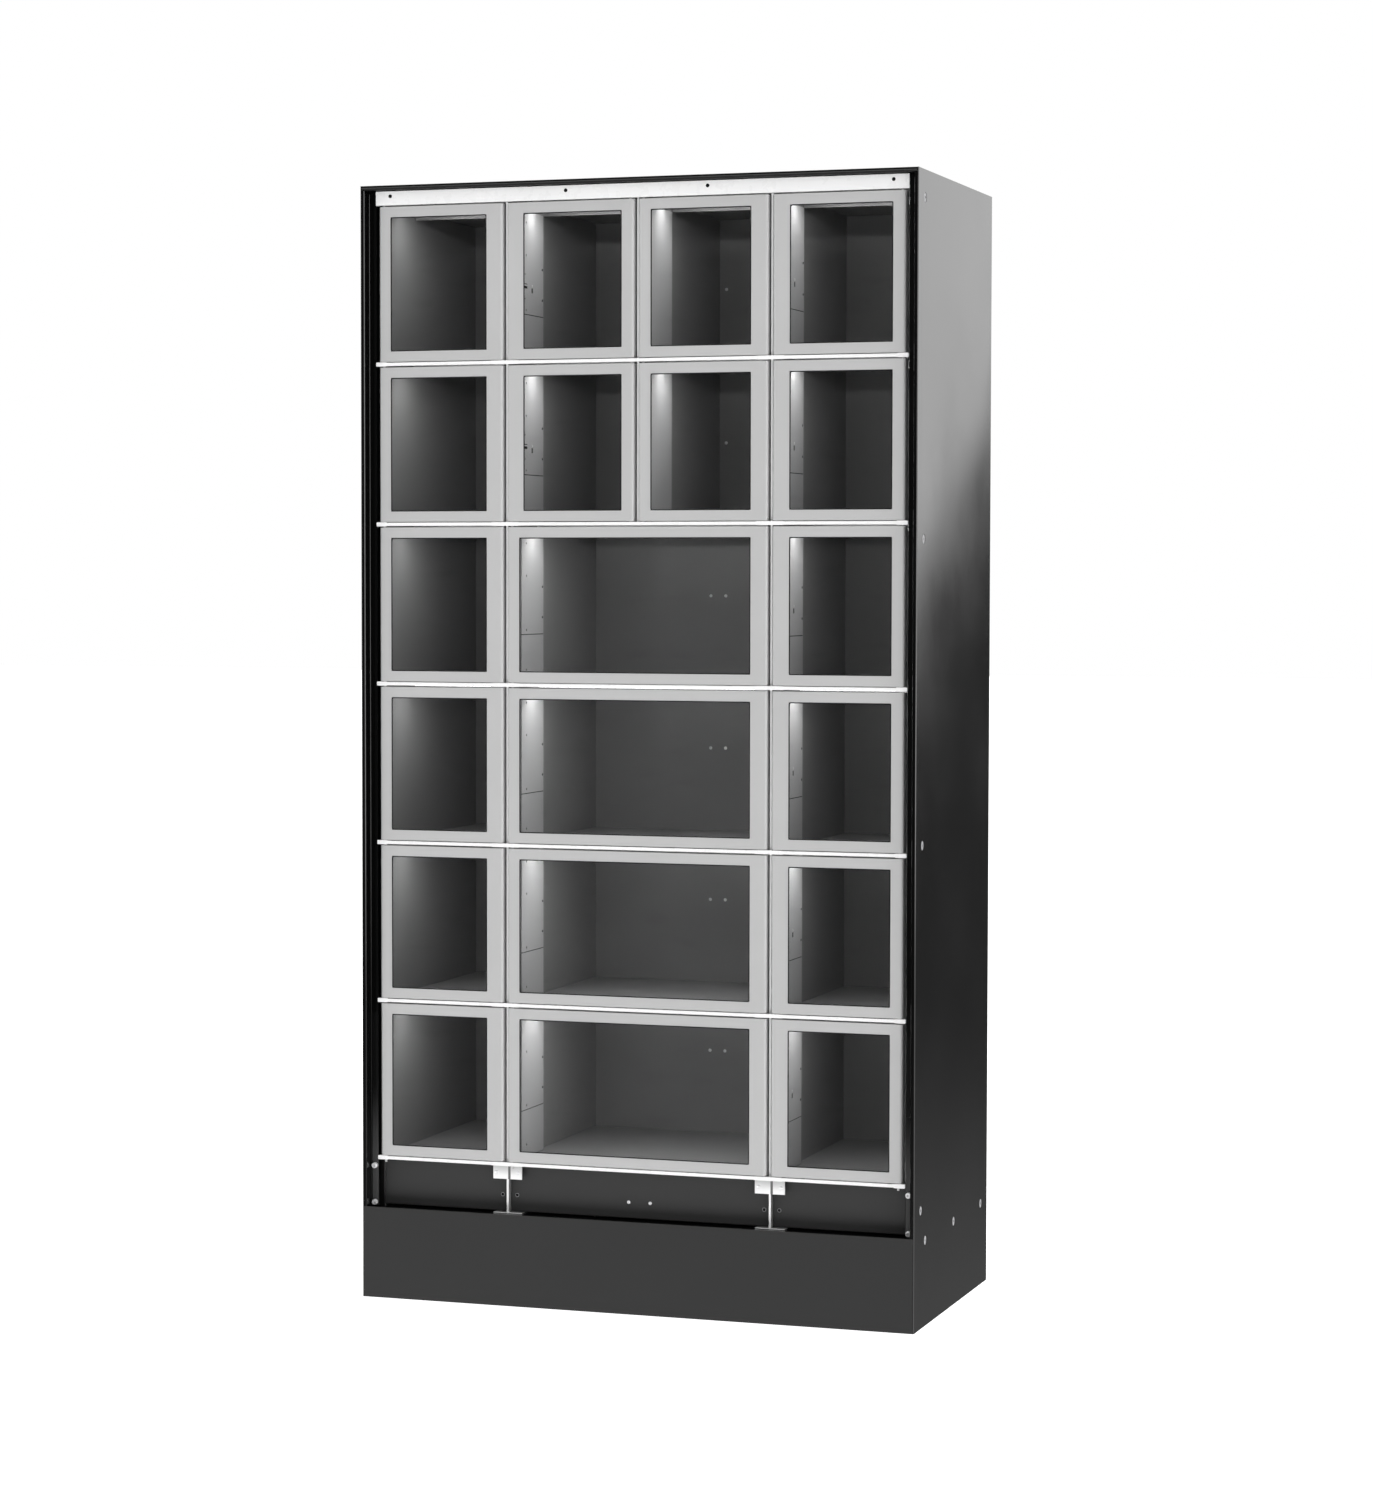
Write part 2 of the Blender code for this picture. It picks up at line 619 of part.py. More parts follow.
def build_doors():
    """All doors, copies of a few meshes, each hung on its hinge axis."""
    frames, windows = {}, {}
    for row in range(1, ROWS + 1):
        for label, first, last, hinge in door_layout(row):
            width = column_line(last) - column_line(first) - DOOR_PLAY
            lowest = row == ROWS
            pin_down = DOOR_BOTTOM_GAP + (NOSE_HEIGHT + PIN_TAIL if lowest else PIN_ENGAGEMENT)
            kind = (last - first, hinge, lowest)
            if kind not in frames:
                frames[kind] = door_frame_mesh("door_frame_mesh", width, hinge, pin_down)
                windows[kind] = window_mesh("door_window_mesh", width, hinge)
            frame = add_piece(f"door_frame_row{row}_{label}", frames[kind], "grey_door")
            frame.location = (hinge_x(first, last, hinge), y_at(FACE_DEPTH + PIN_SETBACK),
                              shelf_level(row) + DOOR_BOTTOM_GAP)
            window = add_piece(f"door_window_row{row}_{label}", windows[kind], "clear_pane")
            window.parent = frame


def build_locker():
    for name, side in (("left", -1), ("right", 1)):
        build_side_panel("side_panel_" + name, side)
        build_side_liner("side_liner_" + name, side)
    build_casing()
    build_rear_wall()
    build_filler_panel()
    rows = range(1, ROWS + 1)
    left_slots = [(row, -1) for row in rows] + [(row, 1) for row in rows if row <= NARROW_ROWS]
    right_slots = [(row, -1) for row in rows] + [(row, 1) for row in rows]
    build_outer_partition("partition_left", 1, left_slots)
    build_outer_partition("partition_right", COLUMNS - 1, right_slots)
    add_partition("partition_middle", column_line(COLUMNS / 2), shelf_level(NARROW_ROWS) + SEAM)
    build_shelf("ceiling_panel", 0, "white_steel")
    for row in rows:
        build_shelf(f"shelf_row{row}", row, "white_steel")
    build_doors()


build_locker()
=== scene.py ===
"""Dressing for the glazed locker: finishes, window trim, lock covers, light strips, screws and studio.

Metres, +Z up. X runs left to right, the front faces -Y, and the floor is Z = 0.
Depths are measured from the foremost plane of the cabinet, backwards.
"""
import json
import math

import bpy
from bpy.props import FloatProperty, FloatVectorProperty, PointerProperty
from mathutils import Euler, Matrix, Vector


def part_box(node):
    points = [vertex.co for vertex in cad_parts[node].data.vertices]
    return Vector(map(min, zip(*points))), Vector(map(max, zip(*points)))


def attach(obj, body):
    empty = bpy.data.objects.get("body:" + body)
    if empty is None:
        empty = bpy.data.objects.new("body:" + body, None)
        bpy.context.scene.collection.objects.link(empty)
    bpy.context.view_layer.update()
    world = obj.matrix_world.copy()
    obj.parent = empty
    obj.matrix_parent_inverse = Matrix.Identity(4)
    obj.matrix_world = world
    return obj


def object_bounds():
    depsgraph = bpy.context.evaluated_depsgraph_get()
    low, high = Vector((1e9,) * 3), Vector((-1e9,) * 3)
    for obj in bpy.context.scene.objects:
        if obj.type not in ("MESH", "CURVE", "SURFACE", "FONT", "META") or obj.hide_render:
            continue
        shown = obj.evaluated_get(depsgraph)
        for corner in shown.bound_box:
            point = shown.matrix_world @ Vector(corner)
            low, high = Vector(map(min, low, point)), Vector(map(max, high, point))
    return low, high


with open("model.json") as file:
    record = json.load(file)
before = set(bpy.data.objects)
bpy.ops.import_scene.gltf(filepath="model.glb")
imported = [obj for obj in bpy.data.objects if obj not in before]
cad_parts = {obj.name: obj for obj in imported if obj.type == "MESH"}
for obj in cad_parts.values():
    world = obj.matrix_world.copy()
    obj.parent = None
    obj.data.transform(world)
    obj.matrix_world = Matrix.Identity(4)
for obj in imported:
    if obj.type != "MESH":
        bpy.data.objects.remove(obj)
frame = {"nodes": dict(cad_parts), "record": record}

bl_info = {
    "name": "Glazed locker dressing",
    "version": (1, 0, 0),
    "blender": (4, 5, 0),
    "location": "3D View > Sidebar > Locker",
    "description": "Finishes, small parts and studio for the glazed locker",
    "category": "Object",
}

CAD_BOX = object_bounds()
NODES = frame["nodes"]


def depth(distance):
    """World Y of a depth behind the foremost plane."""
    return CAD_BOX[0].y + distance


def centre(name):
    low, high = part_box(name)
    return (low + high) / 2


# Layout: places read from the cabinet's parts, and the sizes that these parts were made to
ROW_NUMBERS = range(1, 7)
NARROW_ROWS = 2
NARROW_DOORS = (("left", 0, 1, -1), ("centre_left", 1, 2, 1), ("centre_right", 2, 3, -1), ("right", 3, 4, 1))
WIDE_DOORS = (("left", 0, 1, -1), ("wide", 1, 3, -1), ("right", 3, 4, 1))
SHEET = 0.0015
SEAM = 0.0003
NOSE_HEIGHT = 0.0056
NOSE_BACK = (depth(0.0301), depth(0.0305))
WINDOW_OVERLAP = 0.006
LINER_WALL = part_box("rear_wall")[1].x + 0.00035
LINES = [-LINER_WALL] + [centre("partition_" + name).x for name in ("left", "middle", "right")] + [LINER_WALL]
LEVELS = [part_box("partition_left")[1].z + SEAM + SHEET]
LEVELS += [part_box(f"shelf_row{row}")[1].z for row in ROW_NUMBERS]
WALL_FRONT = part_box("rear_wall")[0].y
NOSE_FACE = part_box("shelf_row1")[0].y
NOSE_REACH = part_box("shelf_row1")[1].x
FILLER_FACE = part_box("filler_panel")[0].y
DUCT_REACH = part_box("partition_middle")[1].x
DUCT_FRONT, DUCT_BACK = depth(0.0463), depth(0.1743)
COVER_FRONT = depth(0.0660)
FLANGE_FACE = depth(0.0225)
BRACKET_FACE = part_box("partition_left")[0].y
BRACKET_FOOT, BRACKET_TOP = 0.2171, 0.2416
# Where the painted shadow line beside a partition's edge starts and ends, to the right of the edge
EDGE_SHADOW_START, EDGE_SHADOW_END = (0.0011, 0.0014), (0.0058, 0.0054)
PARTITION_EDGE = ((0, BRACKET_FACE - 0.001, 0), (1, BRACKET_FACE + 0.0023, 2))
LINER_FOLD = ((0.4766, depth(0.040), 0), (0.5, depth(0.048), 2))
FLANGE_ZONE = ((0.470, depth(0.020), 0), (0.4905, depth(0.026), 0.5))
FLANGE_FADE = (0.385, 0.235)
LIP_LINE = ((0, depth(-0.001), 1.9350), (0.4975, depth(0.0006), 1.9368))
LIP_UNDERSIDE = ((0, depth(0.0022), 1.9300), (0.5, depth(0.030), 1.9338))
RECESS_SINK = 0.001
EDGE_RECESS_DEPTH = 0.0445
EDGE_RECESS_HEIGHTS = (1.894, 1.328, 0.816, 0.201)
FOOT_RECESS_HEIGHT = 0.146
FOOT_RECESS_DEPTHS = (0.075, 0.268, 0.4615)

# Windows: corner and edge radii of the gaskets and retainers
PANE_INSET = 0.0005
GASKET_CORNER, GASKET_EDGE = 0.003, 0.0006
RETAINER_CORNER, RETAINER_EDGE = 0.001, 0.0003

# Lock covers: depths start at a cover's front edge and heights at its foot, but lifts and PIN_HEIGHT start
# at the shelf, and the notches sit in the rear edge
COVER_LIFT = 0.0015
UPPER_COVER_LIFT = 0.0843
COVER_HEIGHTS = {"lower": 0.0813, "blank": 0.1767, "pierced": 0.1767, "plain": 0.2595, "backing": 0.2575}
COVER_SCREW_DEPTH = 0.0233
COVER_SCREW_RADIUS = 0.0023
LOWER_SCREW_HEIGHT = 0.0205
UPPER_SCREW_HEIGHTS = (0.0070, 0.1012, 0.1578)
COVER_CORNER, NOTCH_CORNER, SLOT_CORNER = 0.0015, 0.0007, 0.0005
COVER_NOTCHES = ((0.0285, 0.004), (0.0820, 0.004))
NOTCH_INSET = 0.0045
NOTCH_DEPTH = 0.006
LOCK_HOLES = ((0.0180, 0.0265, 0.0020), (0.0180, 0.0685, 0.0020))
LOCK_SLOTS = ((0.0208, 0.0462, 0.0170, 0.0046), (0.0208, 0.0518, 0.0170, 0.0016),
              (0.0520, 0.0420, 0.0070, 0.0085))
BACKING_INSET = 0.001
PIN_DEPTH, PIN_HEIGHT, PIN_RADIUS = 0.0520, 0.1345, 0.0021

# Latch mouths, light strips, screws and plates
MOUTH_WALL, MOUTH_PROUD, MOUTH_CORNER, MOUTH_EDGE = 0.0012, 0.0008, 0.0006, 0.0002
MOUTH_NEAR, MOUTH_WIDTH, MOUTH_HALF_HEIGHT = 0.0078, 0.0052, 0.0098
STRIP_DEPTH = 0.110
LAMP_WIDTH = 0.010
LAMP_DROP = 0.0010
DIFFUSER_RISE = 0.0012
DIFFUSER_FIT = 0.0026
POST_SCREW_INSET = 0.0147
POST_SCREW_HEIGHTS = (0.2300, 0.1650)
BRACKET_SCREW_OFFSET, BRACKET_SCREW_HEIGHT = 0.0200, 0.2290
FILLER_SCREW_OFFSET, FILLER_SCREW_HEIGHT = 0.0195, 0.1870
FILLER_PLUG_OFFSET, FILLER_PLUG_HEIGHT = 0.0135, 0.1880
WALL_SCREW_OFFSET, WALL_SCREW_LIFT = 0.0143, 0.150
HEADER_PLUG_OFFSETS, HEADER_PLUG_HEIGHT = (0.4520, 0.1275), 1.9230
WASHER_SHARE = 1.22
JOINT_PLATE_WIDTH, JOINT_PLATE_MARGIN = 0.053, 0.0010
END_CAP_WIDTH, END_CAP_INSET, END_CAP_MARGIN = 0.0196, 0.0100, 0.0016


def doors_in(row):
    """Doors of a row as (label, first line, last line, hinge side)."""
    return NARROW_DOORS if row <= NARROW_ROWS else WIDE_DOORS


def latch_place(first, last, hinge):
    """Where a door's latch enters a duct, as (line, side of the line)."""
    return (last, -1) if hinge < 0 else (first, 1)


def all_doors():
    """Each door, row by row, as (row, label, first line, last line, hinge side)."""
    for row in ROW_NUMBERS:
        for door in doors_in(row):
            yield row, *door


def clear_span(first, last):
    """The open width of a compartment between its lock ducts or side walls."""
    low = LINES[first] + (DUCT_REACH if first > 0 else 0)
    high = LINES[last] - (DUCT_REACH if last < len(LINES) - 1 else 0)
    return low, high


# Node trees

AHEAD = (0, -1, 0)
UP = (0, 0, 1)
FULL = (1, 1, 1)
ONE_POINT = [((0, 0, 0), UP, FULL)]
SMOOTH_ANGLE = math.radians(30)
SOFT_EDGE = 0.0002


class Wire:
    """An output socket. Sums of wires and numbers become Math nodes."""

    def __init__(self, graph, socket):
        self.graph = graph
        self.socket = socket

    def maths(self, operation, *values):
        return self.graph.node("ShaderNodeMath", dict(enumerate(values)), operation=operation)

    def __add__(self, other):
        return self.maths("ADD", self, other)

    def __mul__(self, other):
        return self.maths("MULTIPLY", self, other)

    def __sub__(self, other):
        return self.maths("SUBTRACT", self, other)

    def __rsub__(self, other):
        return self.maths("SUBTRACT", other, self)


class Graph:
    """A node tree with one way of adding nodes."""

    def __init__(self, tree):
        self.tree = tree

    @staticmethod
    def find(sockets, key):
        """A socket in use, by its name or by its place among those in use."""
        used = [socket for socket in sockets if socket.enabled]
        if isinstance(key, int):
            return used[key]
        return next(socket for socket in used if socket.name == key)

    def node(self, kind, sockets=None, output=0, **settings):
        """Add a node, set its settings and then its sockets, and return one of its outputs."""
        made = self.tree.nodes.new(kind)
        for name, value in settings.items():
            setattr(made, name, value)
        for name, value in (sockets or {}).items():
            target = self.find(made.inputs, name)
            for one in value if isinstance(value, list) else [value]:
                if isinstance(one, Wire):
                    self.tree.links.new(one.socket, target)
                else:
                    target.default_value = one
        return Wire(self, self.find(made.outputs, output))

    def part(self, vector, axis):
        return self.node("ShaderNodeSeparateXYZ", {"Vector": vector}, output=axis)

    def step(self, value, low, high):
        """0 at low and 1 at high, smooth between. Low may be the larger one."""
        return self.node("ShaderNodeMapRange",
                         {"Value": value, "From Min": low, "From Max": high}, interpolation_type="SMOOTHSTEP")


class Finish(Graph):
    """A surface finish: one Principled shader, fed by patterns on Object coordinates."""

    def __init__(self, name, constants):
        self.material = bpy.data.materials.new(name)
        self.material.use_nodes = True
        super().__init__(self.material.node_tree)
        self.shader = self.tree.nodes["Principled BSDF"]
        for socket, value in constants.items():
            self.shader.inputs[socket].default_value = value
        self.place = self.node("ShaderNodeTexCoord", output="Object")

    def feed(self, socket, wire):
        self.tree.links.new(wire.socket, self.shader.inputs[socket])

    def noise(self, scale, detail=2.0, stretch=(1, 1, 1)):
        """Noise from 0 to 1, with features one over scale metres wide."""
        moved = self.node("ShaderNodeMapping", {"Vector": self.place, "Scale": stretch})
        return self.node("ShaderNodeTexNoise", {"Vector": moved, "Scale": scale, "Detail": detail})

    def patches(self, low, high, scale, detail, stretch=(1, 1, 1)):
        """Noise with all below low at 0 and all above high at 1."""
        return self.step(self.noise(scale, detail, stretch), low, high)

    def along(self, axis):
        return self.part(self.place, axis)

    def inside(self, low, high):
        """1 inside a box between two corners and 0 outside it. Both halves of the cabinet count as one."""
        factor = 1.0
        for axis, first, last in zip("XYZ", low, high):
            place = self.along(axis)
            if axis == "X":
                place = place.maths("ABSOLUTE", place)
            factor = self.step(place, first - SOFT_EDGE, first + SOFT_EDGE) * factor
            factor = self.step(place, last + SOFT_EDGE, last - SOFT_EDGE) * factor
        return factor

    def mix(self, factor, first, second):
        return self.node("ShaderNodeMix", {"Factor": factor, "A": first, "B": second}, data_type="RGBA")

    def bump(self, height, strength, distance):
        self.feed("Normal", self.node("ShaderNodeBump",
                                      {"Strength": strength, "Distance": distance, "Height": height}))


class Build(Graph):
    """A geometry node tree with named sizes. It ends in Realize Instances and Set Material."""

    def __init__(self, name, sizes):
        super().__init__(bpy.data.node_groups.new(name, "GeometryNodeTree"))
        face = self.tree.interface
        face.new_socket("Geometry", in_out="INPUT", socket_type="NodeSocketGeometry")
        for label, value in sizes.items():
            face.new_socket(label, in_out="INPUT", socket_type="NodeSocketFloat").default_value = value
        face.new_socket("Finish", in_out="INPUT", socket_type="NodeSocketMaterial")
        face.new_socket("Geometry", in_out="OUTPUT", socket_type="NodeSocketGeometry")
        self.entry = self.tree.nodes.new("NodeGroupInput")

    def given(self, label):
        """What the tree is given under a label: one of its sizes, its points or its finish."""
        return Wire(self, self.entry.outputs[label])

    def vector(self, x, y, z):
        return self.node("ShaderNodeCombineXYZ", {"X": x, "Y": y, "Z": z})

    def up(self, height):
        return self.vector(0.0, 0.0, height)

    def attribute(self, name):
        return self.node("GeometryNodeInputNamedAttribute",
                         {"Name": name}, output="Attribute", data_type="FLOAT_VECTOR")

    def moved(self, geometry, shift=(0, 0, 0), turn=(0, 0, 0), scale=(1, 1, 1)):
        sockets = {"Geometry": geometry, "Translation": shift, "Rotation": Euler(turn), "Scale": scale}
        return self.node("GeometryNodeTransform", sockets)

    def joined(self, *parts):
        return self.node("GeometryNodeJoinGeometry", {"Geometry": list(parts)})

    def box(self, size, shift=(0, 0, 0)):
        return self.moved(self.node("GeometryNodeMeshCube", {"Size": size}), shift)

    def tube(self, sides, radius, height, shift=(0, 0, 0)):
        round_bar = self.node("GeometryNodeMeshCylinder",
                              {"Vertices": sides, "Radius": radius, "Depth": height})
        return self.moved(round_bar, shift)

    def less(self, solid, *cutters):
        return self.node("GeometryNodeMeshBoolean",
                         {"Mesh 1": solid, "Mesh 2": list(cutters)}, operation="DIFFERENCE")

    def union(self, *solids):
        return self.node("GeometryNodeMeshBoolean", {0: list(solids)}, operation="UNION")

    def dome(self, segments, rings, radius, lift, rise, *cutters):
        """A ball, lifted and scaled in height, without what lies below its seat or in the cutters."""
        ball = self.node("GeometryNodeMeshUVSphere", {"Segments": segments, "Rings": rings, "Radius": radius})
        shaped = self.moved(ball, self.up(lift), scale=self.vector(1.0, 1.0, rise))
        return self.less(shaped, self.box((4, 4, 2), (0, 0, -1)), *cutters)

    def outline(self, width, height, radius, steps):
        """A rectangle with rounded corners, as a curve."""
        sharp = self.node("GeometryNodeCurvePrimitiveQuadrilateral", {"Width": width, "Height": height})
        return self.node("GeometryNodeFilletCurve",
                         {"Curve": sharp, "Count": steps, "Radius": radius}, mode="POLY")

    def swept(self, path, section, caps=False):
        return self.node("GeometryNodeCurveToMesh",
                         {"Curve": path, "Profile Curve": section, "Fill Caps": caps})

    def bar(self, start, end, section):
        """A straight bar with closed ends."""
        line = self.node("GeometryNodeCurvePrimitiveLine", {"Start": start, "End": end})
        return self.swept(line, section, True)

    def on_points(self, part, spin=0.0):
        """End the tree with copies of a part on the points, aimed and sized by the points' attributes."""
        aim = self.node("FunctionNodeAlignRotationToVector", {"Vector": self.attribute("aim")}, axis="Z")
        copies = self.node("GeometryNodeInstanceOnPoints",
                           {"Points": self.given("Geometry"), "Instance": part, "Rotation": aim,
                            "Scale": self.attribute("size")})
        if spin:
            angle = self.node("FunctionNodeRandomValue", {"Max": spin, "Seed": 5}, data_type="FLOAT")
            copies = self.node("GeometryNodeRotateInstances",
                               {"Instances": copies, "Rotation": self.up(angle)})
        return self.finish(copies)

    def finish(self, geometry):
        real = self.node("GeometryNodeRealizeInstances", {"Geometry": geometry})
        painted = self.node("GeometryNodeSetMaterial",
                            {"Geometry": real, "Material": self.given("Finish")})
        leave = self.tree.nodes.new("NodeGroupOutput")
        self.tree.links.new(painted.socket, leave.inputs["Geometry"])
        return self.tree


def grow(name, tree, finish, points, sizes=None, body="cabinet"):
    """Run a tree on points of (place, aim, size) and keep the result as a mesh on a body."""
    mesh = bpy.data.meshes.new(name)
    mesh.from_pydata([place for place, aim, size in points], [], [])
    for index, label in ((1, "aim"), (2, "size")):
        layer = mesh.attributes.new(label, "FLOAT_VECTOR", "POINT")
        layer.data.foreach_set("vector", [number for point in points for number in point[index]])
    item = bpy.data.objects.new(name, mesh)
    bpy.context.scene.collection.objects.link(item)
    step = item.modifiers.new("Build", "NODES")
    step.node_group = tree
    keys = {socket.name: socket.identifier for socket in tree.interface.items_tree
            if socket.in_out == "INPUT"}
    for label, value in dict(sizes or {}, Finish=MATERIALS[finish]).items():
        step[keys[label]] = value
    graph = bpy.context.evaluated_depsgraph_get()
    made = bpy.data.meshes.new_from_object(item.evaluated_get(graph))
    item.modifiers.remove(step)
    item.data = made
    if not made.polygons:
        raise RuntimeError(name + " came out empty")
    made.polygons.foreach_set("use_smooth", [True] * len(made.polygons))
    made.set_sharp_from_angle(angle=SMOOTH_ANGLE)
    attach(item, body)
    return item


# Settings shown in the panel

def metres(name, description, default, low, high):
    return FloatProperty(name=name, description=description, unit="LENGTH", default=default, min=low,
                         max=high)


def strength(name, description, default, high):
    return FloatProperty(name=name, description=description, default=default, min=0, max=high)


def coat_colour(name, description, level):
    return FloatVectorProperty(name=name, description=description, subtype="COLOR",
                               default=(level, level, level), min=0, max=1)


class LOCKER_PG_finishes(bpy.types.PropertyGroup):
    door: coat_colour("Doors", "Colour of the door coat", 0.50)
    liner: coat_colour("Inside", "Colour of the compartments' coat", 0.22)
    cover: coat_colour("Lock covers", "Colour of the lock ducts' covers", 0.42)
    casing: coat_colour("Casing", "Colour of the gloss coat outside", 0.0045)
    plinth: coat_colour("Plinth", "Colour of the kick plate and filler", 0.0295)
    nose: coat_colour("Noses", "Colour of the header and shelf noses", 0.95)
    tint: FloatProperty(name="Pane tint", description="Light that a pane's face holds back",
                        subtype="FACTOR", default=0.10, min=0, max=1)


class LOCKER_PG_trim(bpy.types.PropertyGroup):
    gasket_width: metres("Gasket width", "Rubber that shows round a window", 0.0018, 0.001, 0.01)
    gasket_proud: metres("Gasket proud", "How far the rubber stands out of the door", 0.0003, 0, 0.002)
    retainer_width: metres("Retainer width", "Strip that holds a pane from behind", 0.005, 0.002, 0.006)
    retainer_thickness: metres("Retainer thickness", "Thickness of that strip", 0.0012, 0.0005, 0.003)
    cover_thickness: metres("Cover thickness", "Sheet of the lock covers", 0.0008, 0.0003, 0.002)
    backing_thickness: metres("Backing thickness", "Black plate under the lock covers", 0.0004, 0.0002, 0.001)
    plate_thickness: metres("Joint plates", "Thickness of the plates on the noses", 0.0005, 0.0002, 0.002)


class LOCKER_PG_fasteners(bpy.types.PropertyGroup):
    post_screw: metres("Post screws", "Head diameter at the front posts", 0.0100, 0.003, 0.02)
    side_screw: metres("Side screws", "Head diameter in the side panels", 0.0156, 0.003, 0.016)
    bracket_screw: metres("Bracket screws", "Head diameter at the brackets", 0.0062, 0.003, 0.02)
    wall_screw: metres("Wall screws", "Head diameter at the rear wall", 0.0060, 0.003, 0.02)
    header_plug: metres("Header plugs", "Diameter of the plugs in the header", 0.0064, 0.002, 0.02)
    filler_plug: metres("Filler plugs", "Diameter of the plugs in the filler", 0.0056, 0.002, 0.02)


class LOCKER_PG_lights(bpy.types.PropertyGroup):
    channel_width: metres("Channel width", "Light channel under a shelf", 0.014, 0.006, 0.03)
    channel_height: metres("Channel height", "Light channel under a shelf", 0.0065, 0.003, 0.012)
    end_gap: metres("End gap", "From a lock duct to the end of a light channel", 0.016, 0.002, 0.05)
    power: FloatProperty(name="Lamp power", description="Power for each metre of a lamp",
                         unit="POWER", default=2.35, min=0, max=50)
    tilt: FloatProperty(name="Lamp tilt", description="How far the lamps aim backwards", subtype="ANGLE",
                        default=math.radians(12), min=0, max=math.radians(45))
    glow: strength("Diffuser glow", "Brightness of the diffusers themselves", 6.0, 50)


class LOCKER_PG_studio(bpy.types.PropertyGroup):
    lens: FloatProperty(name="Lens", description="Focal length for a 36 mm sensor", unit="CAMERA",
                        default=87.656, min=10, max=300)
    eye: FloatVectorProperty(name="Eye", description="Where the camera stands", subtype="TRANSLATION",
                             unit="LENGTH", default=(2.0620, -6.1139, 1.2620))
    turn: FloatVectorProperty(name="Turn", description="Tilt, roll and heading of the camera",
                              subtype="EULER", unit="ROTATION",
                              default=[math.radians(angle) for angle in (87.3089, 0.0943, 18.5287)])
    fill: strength("Fill", "Light from above", 0.06, 5)
    key: strength("Key", "Soft light from the left in front", 8.0, 200)
    right: strength("Right", "Soft light from the right in front", 0.8, 50)
    soft: strength("Soft", "Even light from the front, above and below the horizon", 0.46, 5)
    bounce: strength("Bounce", "Light off the floor in front", 2.4, 5)
    level: strength("Level", "Light at eye height, on both sides of the view", 4.7, 20)
    side: strength("Side", "Soft light from the right and above", 1.45, 20)
    floor: coat_colour("Floor", "Colour of the floor", 0.90)


SETTINGS = {
    "locker_finishes": LOCKER_PG_finishes,
    "locker_trim": LOCKER_PG_trim,
    "locker_fasteners": LOCKER_PG_fasteners,
    "locker_lights": LOCKER_PG_lights,
    "locker_studio": LOCKER_PG_studio,
}

MATERIALS = {}


def shade(colour, factor=1.0):
    """A colour as it is, lighter or darker, and opaque."""
    return (colour[0] * factor, colour[1] * factor, colour[2] * factor, 1.0)


# Finishes

def powder_coat(name, colour, roughness, texture, shine):
    """Baked powder: an even colour with faint clouds, and a fine pebbled skin."""
    finish = Finish(name, {"Specular IOR Level": shine})
    grains = finish.noise(1500.0, 1.0)
    tone = finish.mix(finish.patches(0.3, 0.7, 7.0, 3.0), shade(colour, 0.985), shade(colour, 1.015))
    speckle = finish.step(grains, 0.35, 0.65) * 0.25
    finish.feed("Base Color", finish.mix(speckle, tone, shade(colour, 0.93)))
    finish.feed("Roughness", finish.noise(90.0, 2.0) * 0.08 + (roughness - 0.04))
    pebbles = finish.noise(620.0, 2.0)
    finish.bump(pebbles + grains * 0.4, 0.22, texture)
    return finish.material


# A painted highlight for the line along the top panel's lip
PAINTED_LIP_HIGHLIGHT = (0.060, 0.060, 0.060, 1)
# Grey for the foot of the side panels' flange: partly plinth-grey paint, partly painted light lifting it out
# of its shade
FLANGE_GREY_AND_LIGHT = (0.070, 0.070, 0.070, 1)


def gloss_coat(name, colour, shine=0.5, line=None, matt=None, lower=None):
    """Wet-look black: a mirror skin with a little orange peel and dust that dulls it.

    line is a box with a painted highlight in it, matt one without the mirror, and lower one that greys
    downwards, partly plinth grey and partly painted light.
    """
    finish = Finish(name, {"Specular IOR Level": shine, "IOR": 1.5})
    dust = finish.patches(0.68, 0.80, 900.0, 1.0)
    paint = finish.mix(dust * 0.35, shade(colour), shade(colour, 4.0))
    rough = finish.patches(0.25, 0.8, 4.0, 4.0) * 0.035 + dust * 0.2 + 0.055
    # Painted highlight in the line's box
    if line:
        paint = finish.mix(finish.inside(*line), paint, PAINTED_LIP_HIGHLIGHT)
    # The flange greys downwards: plinth-grey paint at its foot, with painted light in the fade and the faint
    # grey above it
    if lower:
        fade = finish.step(finish.along("Z"), *FLANGE_FADE) * 0.92 + 0.08
        paint = finish.mix(finish.inside(*lower) * fade, paint, FLANGE_GREY_AND_LIGHT)
    if matt:
        rough = finish.inside(*matt) * 0.7 + rough
    finish.feed("Base Color", paint)
    finish.feed("Roughness", rough)
    finish.bump(finish.noise(160.0, 1.0), 0.10, 0.00004)
    return finish.material


def shelf_coat(name, nose, deck):
    """White enamel on the nose and header, the compartments' grey on the deck behind them."""
    finish = Finish(name, {"Specular IOR Level": 0.45})
    behind = finish.step(finish.along("Y"), *NOSE_BACK)
    clouds = finish.patches(0.3, 0.7, 9.0, 3.0)
    white = finish.mix(clouds, shade(nose, 0.985), shade(nose, 1.01))
    grey = finish.mix(clouds, shade(deck, 0.97), shade(deck, 1.03))
    finish.feed("Base Color", finish.mix(behind, white, grey))
    finish.feed("Roughness", behind * 0.12 + finish.noise(70.0) * 0.08 + 0.24)
    finish.bump(finish.noise(520.0, 2.0), 0.16, 0.00005)
    return finish.material


